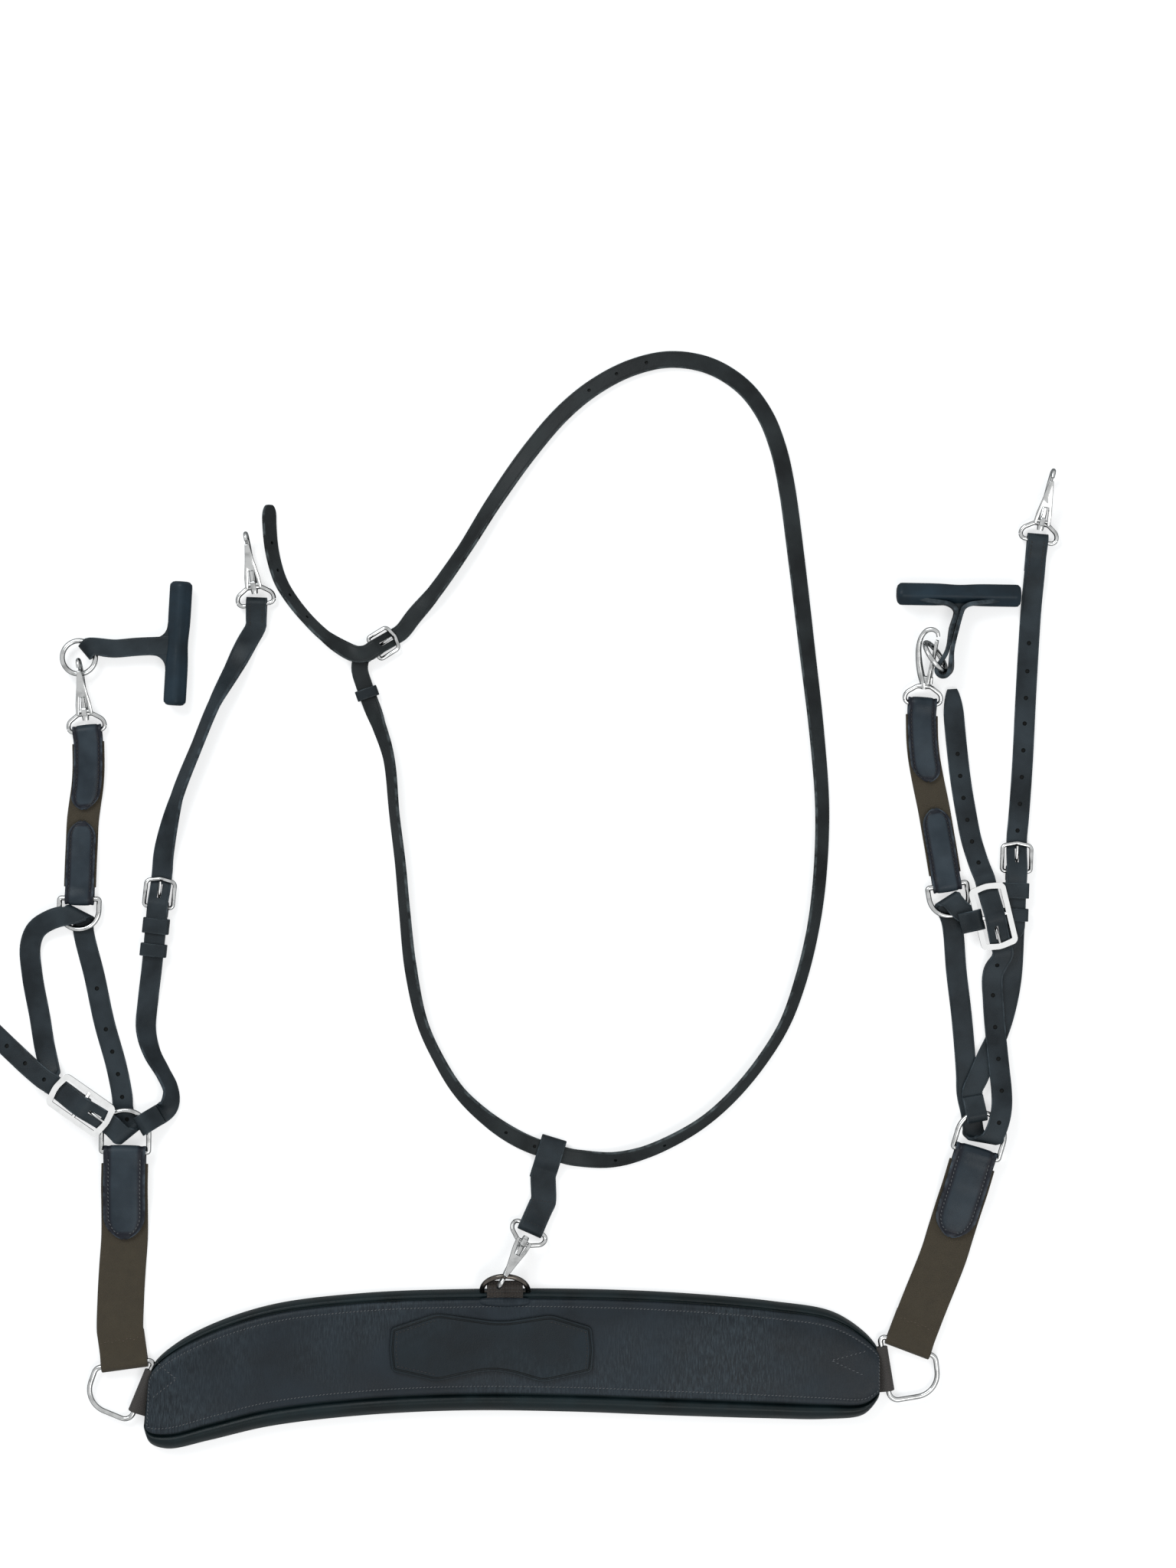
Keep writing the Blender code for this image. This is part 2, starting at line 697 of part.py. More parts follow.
PAD_EDGES = (((-279.5, -24), (-283, -60)), ((-275, -9), (-278, -71)), ((-256, 8), (-264, -75.5)),
             ((-225, 24), (-232, -69)), ((-180, 38), (-185, -58)), ((-110, 46.5), (-113, -49.5)),
             ((-33, 49.5), (-33, -45.6)), ((50, 49.8), (50, -46.5)), ((130, 47), (130, -49.5)),
             ((210, 40), (208, -51.8)), ((256, 32), (250, -52.3)), ((281, 16), (280, -49)),
             ((291, 4), (291, -38)), ((293, -2), (293, -34)))
PAD_SHARES = (-1.0, -0.97, -0.9, -0.78, -0.5, 0.0, 0.5, 0.78, 0.9, 0.97, 1.0)
PAD_FOOT = 0.93
PANEL_SHARES = (-0.68, -0.4, 0.0, 0.4, 0.7, 0.85)
PATCH_CORNERS = ((-92, 7, 4), (-86, 24, 7), (-55, 34, 16), (-6, 27, 60), (38, 33, 16), (66, 23, 7),
                 (71, 6, 5), (66, -13, 7), (35, -23, 16), (-8, -13, 60), (-58, -22, 16),
                 (-86, -13, 7))


def pad_stations(steps=2):
    """The pad's two edges, sampled along its length."""
    tops = [Vector((*top, 0)) for top, _ in PAD_EDGES]
    feet = [Vector((*foot, 0)) for _, foot in PAD_EDGES]
    rows = []
    for index in range(len(tops) - 1):
        for part in range(steps):
            share = part / steps
            rows.append((curve_point(tops, index, share), curve_point(feet, index, share)))
    rows.append((tops[-1], feet[-1]))
    return rows


def pad_thickness(row):
    """The pad thins out towards its two ends."""
    middle = (row[0].x + row[1].x) / 2
    from_end = min(middle - PAD_EDGES[0][1][0], PAD_EDGES[-1][0][0] - middle)
    share = min(max(from_end / 45.0, 0.0), 1.0)
    return PAD_END_THICK + (PAD_THICK - PAD_END_THICK) * share * (2 - share)


def crown(row, share):
    """The height of the pad's padded face across its width, from -1 to 1."""
    return pad_thickness(row) * (0.3 + 0.7 * math.sqrt(max(0.0, 1 - abs(share) ** 6)))


def across(row, share, height):
    """A place on the pad at a share of its width."""
    spot = row[1].lerp(row[0], (share + 1) / 2)
    return Vector((spot.x, spot.y, height))


def skin(shape, sections):
    """Close a tube of matching sections, with a flat cap at each end."""
    rings = [[shape.verts.new(spot) for spot in section] for section in sections]
    count = len(rings[0])
    for one, two in zip(rings, rings[1:]):
        for index in range(count):
            after = (index + 1) % count
            shape.faces.new((one[index], one[after], two[after], two[index]))
    shape.faces.new(rings[0])
    shape.faces.new(list(reversed(rings[-1])))
    bmesh.ops.recalc_face_normals(shape, faces=shape.faces)


def pad_backing():
    """The padded backing, flat underneath, with notches for the rings' webbing."""
    def build(shape):
        sections = []
        for row in pad_stations():
            section = [across(row, share, crown(row, share)) for share in PAD_SHARES]
            section += [across(row, PAD_FOOT, 0.0), across(row, -PAD_FOOT, 0.0)]
            sections.append(section)
        skin(shape, sections)
    return mesh_object("pad_backing", build, PAD_LEATHER)


def pad_face_panel():
    """The leather panel on the pad's face."""
    def build(shape):
        sections = []
        for row in pad_stations()[1:-1]:
            low = [across(row, share, crown(row, share) + FIT) for share in PANEL_SHARES]
            high = [spot + UP * PANEL_THICK for spot in low]
            sections.append(low + high[::-1])
        skin(shape, sections)
    return mesh_object("pad_face_panel", build, PAD_LEATHER)


def pad_patch():
    """The plain leather patch on the middle of the pad's face."""
    level = PAD_THICK + FIT + PANEL_THICK + FIT + PATCH_THICK / 2
    frame = Matrix.Translation((0, 0, level))
    return plate("pad_patch", frame, rounded_outline(PATCH_CORNERS), PATCH_THICK, PAD_LEATHER)


def end_chape(name, frame, backing):
    """The webbing that holds an end ring, its tails let into the pad's end."""
    inward = behind(frame)
    turn = RING_WIRE / 2 + FIT + CHAPE_THICK / 2
    knots = sewn_end(inward, RING_WIRE, CHAPE_THICK, CHAPE_TAIL)
    knots += [local(inward, CHAPE_TAIL + 1, 0, -turn)]
    half = CHAPE_WIDTH / 2 + 0.5
    low = NOTCH_FLOOR - frame.translation.z
    notch = box(name + "_notch", inward, (-12, -half, low), (CHAPE_TAIL + 3, half, 20))
    combine(backing, notch, "DIFFERENCE")
    return ribbon(name, knots, CHAPE_WIDTH, CHAPE_THICK, WEBBING)


# Rings

SHOULDER = (20.9, 14.4)
SHOULDER_TURN = 59.9
CENTRE_DEE_PLACE = (0.0, 47.0)
CENTRE_DEE_TILT = 45.0


def end_dee(name, frame, hand):
    """The pad's end ring: a bar in the webbing and a slanted shoulder for the elastic."""
    corners = [(0, -25.7, 7), (0, 26.5, 3), (40.5, 3, 6), (39, -25.7, 18)]
    outline = rounded_outline([(x, y * hand, radius) for x, y, radius in corners])
    return wire_loop(name, frame, outline, RING_WIRE, STEEL)


def shoulder_frame(frame, hand):
    """A frame on the end ring's slanted shoulder, X towards the elastic."""
    x, y = SHOULDER
    turned = Matrix.Rotation(math.radians(SHOULDER_TURN * hand), 4, "Z")
    return frame @ Matrix.Translation((x, y * hand, 0)) @ turned


def centre_dee_frame():
    """The ring that stands up from the top edge of the pad."""
    return frame_at((*CENTRE_DEE_PLACE, CENTRE_DEE_LEVEL), 90, CENTRE_DEE_TILT)


def centre_chape(backing):
    """The webbing band that holds the centre ring, let into the pad's top edge."""
    inward = frame_at((*CENTRE_DEE_PLACE, CENTRE_DEE_LEVEL), -90)
    turn = RING_WIRE / 2 + FIT + CHAPE_THICK / 2
    knots = sewn_end(inward, RING_WIRE, CHAPE_THICK, CHAPE_TAIL)
    knots += [local(inward, CHAPE_TAIL + 1, 0, -turn)]
    half = CENTRE_CHAPE_WIDTH / 2 + 0.5
    low = -turn - CHAPE_THICK / 2 - FIT
    notch = box("centre_notch", inward, (-12, -half, low), (CHAPE_TAIL + 3, half, 20))
    combine(backing, notch, "DIFFERENCE")
    bars = box("centre_bar_room", inward, (-12, -CENTRE_DEE_BAR / 2 - 3, -RING_WIRE / 2 - 1),
               (RING_WIRE / 2 + 1, CENTRE_DEE_BAR / 2 + 3, 20))
    combine(backing, bars, "DIFFERENCE")
    return ribbon("centre_chape", knots, CENTRE_CHAPE_WIDTH, CHAPE_THICK, WEBBING)


def snap_on(seat, heading, pitch):
    """The frame of a snap whose hook holds a place on a ring."""
    turned = frame_at((0, 0, 0), heading, pitch)
    reach = turned @ Vector((SNAP_LENGTH - SNAP_SEAT_BACK, 0, SNAP_SEAT_DROP))
    return Matrix.Translation(Vector(seat) - reach) @ turned


def level_frame(frame, heading):
    """A level frame at a snap's eye, heading along the strap."""
    return frame_at(frame.translation, heading)


# The neck strap and its snap

LOOP_TAB_SPAN = (15.04, 60.12)
NECK_CROSSING_HEADING = 163.0
NECK_BUCKLE = ((-102.6, 550.2), 32.0)
CENTRE_SNAP = (-120.0, 27.0)
NECK_FLAT = ((-113.3, 540.6, 4.6), (-113.8, 533.5, 4.3), (-110.4, 522, 4.2), (-105.8, 509, 4.2))
NECK_ROUTE = ((-99, 491, 25), (-91, 465, 40), (-86.5, 420, 45), (-82, 383, 45), (-78.6, 345, 50),
              (-73.8, 300, 50), (-64.8, 258, 55), (-52.2, 229.8, 55), (-36, 204, 50),
              (-15, 183.6, 35), (6, 169, 12))
NECK_ROUTE_ON = ((60, 151.4, 8), (84, 150.6, 30), (108, 156, 45), (135, 168, 50),
                 (158, 182.6, 55), (181.2, 204, 55), (202.8, 231, 55), (219, 258, 55),
                 (231, 291, 50), (240.5, 330, 50), (246, 371, 45), (248, 425, 40),
                 (244, 482, 35), (236, 552, 25), (228, 620, 15), (220.2, 678, 10),
                 (213.5, 708, 10), (203, 734, 10), (186, 756, 10), (160, 772, 10),
                 (129, 777, 10), (99, 770.5, 10), (70.8, 756, 10), (46, 736, 10),
                 (20, 706, 10), (-9, 664.8, 10), (-32, 628, 10), (-58, 592, 8),
                 (-72, 574.5, 0))
NECK_TAIL_START = ((-116.5, 543.6, 8.7, 0), (-127.5, 547.5, 7.8, 20))
NECK_TAIL = ((-141, 559, 50), (-154, 574, 50), (-166, 589, 40), (-175.5, 603, 30),
             (-182, 625, 15), (-184.4, 648, 5), (-184.4, 663, 0))


def centre_snap_place():
    """The centre snap's frame, its hook in the centre ring."""
    return snap_on(centre_dee_frame() @ Vector((CENTRE_DEE_DEPTH, 0, 0)), *CENTRE_SNAP)


def neck_crossing_frame():
    """The frame where the loop tab goes round the neck strap: X towards the snap."""
    eye = centre_snap_place().translation
    place = (eye.x + LOOP_TAB_SPAN[0], eye.y + LOOP_TAB_SPAN[1], LOW + LAYER)
    return frame_at(place, NECK_CROSSING_HEADING + 90)


def neck_buckle():
    """The neck strap's buckle frame: X towards the bar that the punched end comes under."""
    place, heading = NECK_BUCKLE
    return frame_at((*place, BUCKLE_LEVEL), heading)


def neck_strap():
    """The long neck strap, buckled to itself, both ends at the buckle."""
    frame = neck_buckle()
    crossing = neck_crossing_frame()
    knots = sewn_end(behind(frame), BUCKLE_WIRE, STRAP_THICK, 5.5, lap_above=False)
    knots += [flat(*spot) for spot in NECK_FLAT]
    knots += [resting(x, y, roll, NECK_WIDTH) for x, y, roll in NECK_ROUTE]
    knots += [free(*(crossing @ Vector((0, y, 0)))) for y in (-14, 0, 14)]
    knots += [resting(x, y, roll, NECK_WIDTH) for x, y, roll in NECK_ROUTE_ON]
    knots += threaded(frame, NECK_BUCKLE_LENGTH, 0)
    knots += [free(*spot) for spot in NECK_TAIL_START]
    knots += [resting(x, y, roll, NECK_WIDTH) for x, y, roll in NECK_TAIL]
    strap = ribbon("neck_strap", knots, NECK_WIDTH, STRAP_THICK, LEATHER, end_point=10)
    cut_tongue_slots(strap, frame, NECK_BUCKLE_LENGTH)
    cut_chape_slot(strap, frame)
    return strap


def neck_loop_tab(snap):
    """The strap from the centre snap that loops round the neck strap."""
    eye = level_frame(snap, CENTRE_SNAP[0] + 180)
    crossing = neck_crossing_frame()
    half = NECK_WIDTH / 2 + 0.4
    radius = LAYER
    lean = radius * math.sqrt(0.5)
    knots = sewn_end(eye, SNAP_WIRE, STRAP_THICK, 20, lap_above=False)
    loop = [(19, 0), (15, 0), (half + 4.5, radius * 0.6), (half + 1, radius), (0, radius),
            (-half, radius), (-half - lean, lean), (-half - radius, 0), (-half - lean, -lean),
            (-half, -radius), (0, -radius), (8, -radius), (24, -radius)]
    knots += [local(crossing, x, 0, z) for x, z in loop]
    return ribbon("neck_loop_tab", knots, LOOP_TAB_WIDTH, STRAP_THICK, LEATHER)


def neck_keeper():
    """The sliding keeper on the neck strap below the buckle."""
    one, two = NECK_FLAT[2], NECK_FLAT[3]
    middle = ((one[0] + two[0]) / 2, (one[1] + two[1]) / 2, one[2] - HALF)
    frame = frame_at(middle, heading_of(one, two))
    return keeper("neck_keeper", frame, STRAP_THICK, 8.0, NECK_WIDTH)


# The two sides: places measured from the pad's middle, headings in degrees

RIGHT = {
    "name": "right", "hand": 1,
    "end_dee": (297.0, -12.6, 9.4),
    "wide_via": ((331.2, 45.0), (343.5, 76.0)),
    "lower_ring": (367.5, 156.0, 73.4),
    "upper_ring": (345.6, 365.4, -80.6),
    "clip": (326.4, 507.6, 86.0, 13.5, 75.0),
    "sways": (0.0, 9.0),
    "toggle": (0.528, -0.844, 0.16),
}
LEFT = {
    "name": "left", "hand": -1,
    "end_dee": (-286.5, -28.5, 163.4),
    "wide_via": ((-298.2, 39.0), (-303.0, 72.0)),
    "lower_ring": (-298.2, 157.2, 82.0),
    "upper_ring": (-333.0, 355.0, -92.0),
    "clip": (-327.0, 486.0, 96.0, 7.0, 0.0),
    "sways": (0.0, -9.0),
    "toggle": (0.20, 0.95, -0.02),
}


def ring_frame(side, key, level):
    """The frame on a ring's bar: X towards its bow."""
    x, y, heading = side[key]
    return frame_at((x, y, level), heading)


def clip_frames(side):
    """The upper snap's strap eye, and its hook, which may lie turned on its side."""
    x, y, heading, pitch, twist = side["clip"]
    eye = frame_at((x, y, EYE_LEVEL), heading, pitch)
    ahead = Matrix.Translation((SWIVEL_ROOM if twist else 0.0, 0, 0))
    return eye, eye @ ahead @ Matrix.Rotation(math.radians(twist), 4, "X")


def wide_elastic(side, dee, ring):
    """The wide elastic from the pad's end ring to the lower ring."""
    start = shoulder_frame(dee, side["hand"])
    knots = sewn_end(start, RING_WIRE, ELASTIC_THICK, 25.0, lap_above=False)
    knots += [flat(x, y, ELASTIC_LOW) for x, y in side["wide_via"]]
    knots += elastic_end(behind(ring), RING_WIRE, WIDE_TAB_LENGTH)[::-1]
    return ribbon(side["name"] + "_wide_elastic", knots, WIDE_ELASTIC, ELASTIC_THICK, ELASTIC)


def upper_elastic(side, ring):
    """The narrow elastic between the upper ring and the clip."""
    low, high = side["sways"]
    knots = elastic_end(behind(ring), RING_WIRE, NARROW_TAB_LENGTH, low)
    knots += elastic_end(clip_tab_frame(side), SNAP_WIRE, NARROW_TAB_LENGTH, high)[::-1]
    return ribbon(side["name"] + "_upper_elastic", knots, NARROW_ELASTIC, ELASTIC_THICK, ELASTIC)


def clip_tab_frame(side):
    """A level frame at the clip's eye, X down the elastic."""
    x, y, heading = side["clip"][:3]
    return frame_at((x, y, EYE_LEVEL), heading + 180)


# The loop belts: one buckled strap through both rings of a side

LOOP_BUCKLE_RIGHT = ((381.0, 341.4), 13.2, -76.5)
LOOP_BUCKLE_LEFT = ((-330.5, 194.1), 16.0, -35.0)


def loop_frame(spot):
    """A loop buckle's frame: X towards the bar that the punched end comes under."""
    place, level, heading = spot
    return frame_at((*place, level), heading)


def right_loop_strap():
    """From the buckle's side through the upper ring, down, through the lower ring and back."""
    frame = loop_frame(LOOP_BUCKLE_RIGHT)
    half = LOOP_BUCKLE_LENGTH / 2
    edge = frame @ Vector((0, -LOOP_BUCKLE_WIDTH / 2, 0))
    chape = frame_at(edge, LOOP_BUCKLE_RIGHT[2] - 90)
    knots = sewn_end(chape, BUCKLE_WIRE, STRAP_THICK, SIDE_LAP)[:-1]
    knots += [flat(356.0, 346.0, 8.9)]
    knots += slanted_turn((347.0, 351.7), 95, -30, LOW, 8.8)[::-1]
    knots += [flat(349.6, 337.0), flat(353.4, 297), flat(357.6, 261), flat(361, 219),
              flat(361.6, 202), flat(364.8, 187)]
    knots += slanted_turn((374.0, 171.0), -62, 42, LOW, 13.0)
    knots += [flat(385.4, 180.5, 13.3), flat(387.6, 192, 12.6), flat(387.8, 205, 9.8),
              flat(386.6, 222, 8.3), flat(385.2, 238, 6.4), flat(384, 254, 5.2), flat(381, 275, 4.5),
              flat(379.5, 298, 4.8)]
    knots += threaded(frame, half, half, THREAD_SHIFT)
    knots += [flat(371.5, 380, 3.4), flat(365, 401), flat(361, 421), flat(357, 445),
              flat(354, 470), flat(351.6, 495), flat(350, 519)]
    strap = ribbon("right_loop_strap", knots, STRAP_WIDTH, STRAP_THICK, LEATHER, end_point=12)
    cut_tongue_slots(strap, frame, half)
    room = BUCKLE_WIRE / 2 + FIT
    bar = box("right_chape_bar_room", frame, (-room, -LOOP_BUCKLE_WIDTH / 2 + 1, -room),
              (room, -LOOP_BUCKLE_WIDTH / 2 + 7, room))
    combine(strap, bar, "DIFFERENCE")
    return strap


def left_loop_strap():
    """From the buckle up through the upper ring, down, through the lower ring and back."""
    frame = loop_frame(LOOP_BUCKLE_LEFT)
    half = LOOP_BUCKLE_LENGTH / 2
    turn = BUCKLE_TURN
    lean = turn * math.sqrt(0.5)
    fold = [(-6.5, 0.2), (-3.4, 2.2), (0, turn), (lean, lean), (turn, 0), (lean, -lean),
            (0, -turn), (-5, -turn), (-12, -4.8), (-half, -6.2), (-half - 7, -6.4)]
    knots = [local(frame, x, 0, z) for x, z in fold]
    knots += [flat(-356, 219, 5.6), flat(-358.5, 229, 2.6), flat(-361, 240), flat(-364.5, 262),
              flat(-369.5, 293), flat(-369, 315, 3.0), flat(-359, 328, 6.4), flat(-347, 333.4, 8.9)]
    knots += slanted_turn((-333.0, 341.0), 100, 215, LOW, 8.8)[::-1]
    knots += [flat(-330.5, 331), flat(-321.6, 293.4), flat(-314.1, 258), flat(-304.5, 223.2),
              flat(-300.0, 200), flat(-299.0, 188)]
    knots += slanted_turn((-297.0, 174.2), -77, 155, LOW, 13.0)
    knots += threaded(frame, half, half, 0.0)
    knots += [flat(-360, 214, 10.6), flat(-372, 223.5, 7.4), flat(-384, 234, 3.6), flat(-396, 245),
              flat(-409.2, 258), flat(-416, 265)]
    strap = ribbon("left_loop_strap", knots, STRAP_WIDTH, STRAP_THICK, LEATHER, end_point=12)
    cut_tongue_slots(strap, frame, half)
    cut_chape_slot(strap, frame)
    return strap


# The girth branches

RIGHT_GIRTH = {
    "name": "right", "buckle": (399.8, 376.3, 88.0), "snap": (416.4, 634.8, 78.0, 8.0),
    "strap_heading": 85.0, "lap": 24.0,
    "side": RIGHT, "eye": (101.0, 100.0),
    "lower": ((367.5, 214.0, 4.7, 0), (373.5, 228.0, 4.6, 0), (382, 242, 2.6, 0), (390, 262, 0),
              (396.3, 292, 0)),
    "upper": ((402, 417, 0), (405, 459, 0), (408, 519, 0), (411.6, 579, 0)),
    "tail": 52.0,
}
LEFT_GIRTH = {
    "name": "left", "buckle": (-271.5, 348.5, 84.0), "snap": (-194.5, 585.0, 98.0, 8.0),
    "strap_heading": 88.0, "lap": 14.0,
    "side": LEFT, "eye": (29.0, 31.0),
    "lower": ((-262.5, 194, 25), (-261.5, 206, 45), (-267.5, 219, 45),
              (-276, 234, 20), (-281, 252, 0), (-279.8, 275, 0)),
    "upper": ((-267, 392, 0), (-256.8, 433.8, 25), (-240.6, 475.2, 30), (-227, 508, 25),
              (-213, 534, 15), (-202.5, 555, 0)),
    "tail": 36.0,
}


def girth_buckle(girth):
    """The girth buckle's frame, on its heel bar: X towards the snap."""
    x, y, heading = girth["buckle"]
    return frame_at((x, y, BUCKLE_LEVEL), heading)


def girth_snap(girth):
    """The frame on the eye of the girth snap."""
    x, y, heading, pitch = girth["snap"]
    return frame_at((x, y, EYE_LEVEL), heading, pitch)


def girth_eye(girth):
    """The frame where the lower strap's loose eye goes round the lower ring's bow."""
    angle, heading = girth["eye"]
    ring = ring_frame(girth["side"], "lower_ring", HIGH_RING_LEVEL)
    radius = LOWER_DEE_BAR / 2
    middle = ring @ Vector((LOWER_DEE_DEPTH - radius, 0, 0))
    turned = frame_at(middle, angle) @ Vector((radius - EYE_SAG / 2, 0, 0))
    return frame_at(turned, heading)


def girth_strap(girth):
    """The lower strap: a loose eye round the lower ring's bow, up to the buckle's heel bar."""
    eye = girth_eye(girth)
    beyond = RING_LEVEL - RING_TURN - HIGH_RING_LEVEL + LAYER
    knots = sewn_end(eye, RING_WIRE, STRAP_THICK, EYE_LAP, EYE_SAG)
    knots += [local(eye, EYE_LAP + 2, 0, beyond)]
    knots += way(girth["lower"])
    frame = behind(girth_buckle(girth))
    held = LAYER - BUCKLE_TURN
    knots += [local(frame, x, 0, held) for x in (50, 30)]
    knots += sewn_end(frame, BUCKLE_WIRE, STRAP_THICK, 7.5, lap_above=False)[:-1][::-1]
    strap = ribbon(girth["name"] + "_girth_strap", knots, STRAP_WIDTH, STRAP_THICK, LEATHER)
    cut_chape_slot(strap, behind(frame))
    return strap


def girth_buckle_strap(girth):
    """The upper strap: sewn round the snap's eye, through the buckle, over the lower strap."""
    frame = girth_buckle(girth)
    x, y = girth["snap"][:2]
    start = frame_at((x, y, EYE_LEVEL), girth["strap_heading"] + 180)
    knots = sewn_end(start, SNAP_WIRE, STRAP_THICK, girth["lap"], EYE_SAG, False, -EYE_TURN)
    knots += way(girth["upper"][::-1])
    knots += threaded(frame, GIRTH_BUCKLE_LENGTH, 0)
    level = LAYER - BUCKLE_TURN + LAYER
    knots += [local(frame, -x, 0, level) for x in (13.5, 30, girth["tail"])]
    name = girth["name"] + "_girth_buckle_strap"
    strap = ribbon(name, knots, STRAP_WIDTH, STRAP_THICK, LEATHER, end_point=10)
    cut_tongue_slots(strap, frame, GIRTH_BUCKLE_LENGTH)
    return strap


def girth_keeper(girth, back, name):
    """A keeper round both straps below the girth buckle."""
    level = LAYER - BUCKLE_TURN - HALF
    placed = girth_buckle(girth) @ Matrix.Translation((-back, 0, level))
    return keeper(name, placed, STRAP_THICK + LAYER, 10.0)


# Toggles

RIGHT_TOGGLE = {"bar": (354.5, 592.5, -1.0), "loop": (0.0, 80.0), "tall": 12.0, "edge": True,
                "way": ((346.6, 547.5, 14.5), (350.6, 566, 11), (354, 589, 9))}
LEFT_TOGGLE = {"bar": (-255.6, 554.4, 86.7), "loop": (-56.0, 22.0), "tall": 14.0, "edge": False,
               "way": ((-304, 550.5, 8), (-288, 551.8, 8.5), (-260, 553, 9))}


def toggle_ring_frame(side):
    """A toggle ring's frame: its middle, with the hook's wire crossing it at minus X."""
    hook = clip_frames(side)[1]
    along = (hook.to_3x3() @ Vector((0, 1, 0))).normalized()
    inward = Vector(side["toggle"])
    inward = (inward - along * inward.dot(along)).normalized()
    normal = inward.cross(along)
    turned = Matrix((inward, along, normal)).transposed().to_4x4()
    return Matrix.Translation(snap_seat(hook) + inward * TOGGLE_RING / 2) @ turned


def toggle_bar(name, place, heading):
    """A rolled leather bar with rounded ends."""
    frame = frame_at((*place, 0), heading)
    radius = TOGGLE_THICK / 2

    def build(shape):
        sections = []
        for share, scale in ((-1, 0.55), (-0.975, 0.82), (-0.92, 0.97), (-0.6, 1), (-0.2, 1.02),
                             (0.2, 1.02), (0.6, 1), (0.92, 0.97), (0.975, 0.82), (1, 0.55)):
            section = []
            for step in range(10):
                turn = 2 * math.pi * (step + 0.5) / 10
                y = radius * scale * math.cos(turn)
                z = radius * (1.02 + scale * math.sin(turn)) + FLOOR_GAP
                section.append(frame @ Vector((share * TOGGLE_LENGTH / 2, y, z)))
            sections.append(section)
        skin(shape, sections)
    return mesh_object(name, build, LEATHER)


def toggle_wire(ring, toggle):
    """Where the toggle's stem goes round its ring, and the wire's direction there."""
    turned = ring @ Matrix.Rotation(math.radians(toggle["loop"][0]), 4, "Z")
    spot = turned @ Vector((TOGGLE_RING / 2 - STEM_PLAY, 0, 0))
    return spot, (turned.to_3x3() @ Vector((0, 1, 0))).normalized()


def stem_knots(ring, toggle):
    """Knots of a doubled stem: in from the bar, round the ring's wire, and back."""
    wire, along = toggle_wire(ring, toggle)
    heading = math.radians(toggle["loop"][1])
    turn = RING_WIRE / 2 + FIT + STEM_PLAY + STEM_THICK / 2
    ahead = Vector((math.cos(heading), math.sin(heading), 0))
    ahead = (ahead - along * ahead.dot(along)).normalized()
    aside = ahead.cross(along).normalized()
    offset = STEM_THICK / 2 + FIT
    circle = [(wire + aside * turn * math.cos(math.radians(angle))
               - ahead * turn * math.sin(math.radians(angle)), along)
              for angle in (0, 45, 90, 135, 180)]
    going, coming = [], []
    spots = [wire] + [Vector(spot) for spot in toggle["way"]]
    for index in range(1, len(spots)):
        line = (spots[min(index + 1, len(spots) - 1)] - spots[index - 1]).normalized()
        target = UP if toggle["edge"] else UP.cross(line)
        if target.dot(along) < 0:
            target = -target
        side = along.lerp(target, min(1.0, index / 2)).normalized()
        across = line.cross(side).normalized()
        going.append((spots[index] + across * offset, side))
        coming.append((spots[index] - across * offset, side))
    return going[::-1] + circle + coming


def toggle_piece(name, ring, toggle):
    """A toggle: a strap doubled round the ring, its two ends rolled into a bar."""
    x, y, heading = toggle["bar"]
    bar = toggle_bar(name, (x, y), heading)
    stem = ribbon(name + "_stem", stem_knots(ring, toggle), toggle["tall"], STEM_THICK, LEATHER,
                  step=9)
    return combine(bar, stem, "UNION")


# Putting the piece together

def hang(item, pivot):
    """Put a moving piece's origin on its joint."""
    shift = Vector(pivot) * MM
    item.data.transform(Matrix.Translation(-shift) @ item.matrix_world)
    item.matrix_world = Matrix.Translation(shift)
    return item


def build_snap(name, eye, hook):
    """A snap's frame and lever, hung on the strap's eye and on the pin."""
    hang(snap_frame(name + "_frame", eye, hook), eye.translation)
    hang(snap_lever(name + "_lever", hook), hook @ Vector(SNAP_PIN))


def build_pad():
    """The chest pad with its end and centre rings."""
    backing = pad_backing()
    pad_face_panel()
    pad_patch()
    centre_chape(backing)
    dee = centre_dee_frame()
    ring = wire_loop("centre_dee", dee, dee_outline(CENTRE_DEE_BAR, CENTRE_DEE_DEPTH), RING_WIRE,
                     DARK_STEEL)
    hang(ring, dee.translation)
    for side in (RIGHT, LEFT):
        frame = ring_frame(side, "end_dee", END_DEE_LEVEL)
        end_chape(side["name"] + "_end_chape", frame, backing)
        hang(end_dee(side["name"] + "_end_dee", frame, side["hand"]), frame.translation)


def build_neck():
    """The centre snap, its loop tab, and the neck strap with its buckle."""
    seat = centre_dee_frame() @ Vector((CENTRE_DEE_DEPTH, 0, 0))
    snap = centre_snap_place()
    hang(snap_frame("centre_snap_frame", snap, snap), seat)
    hang(snap_lever("centre_snap_lever", snap), snap @ Vector(SNAP_PIN))
    hang(neck_loop_tab(snap), snap.translation)
    hang(neck_strap(), neck_crossing_frame().translation)
    frame = neck_buckle()
    hang(buckle_frame("neck_buckle_frame", frame, NECK_BUCKLE_LENGTH, 0, NECK_BUCKLE_WIDTH),
         frame.translation)
    hang(tongue("neck_buckle_tongue", frame, NECK_BUCKLE_LENGTH), frame.translation)
    neck_keeper()


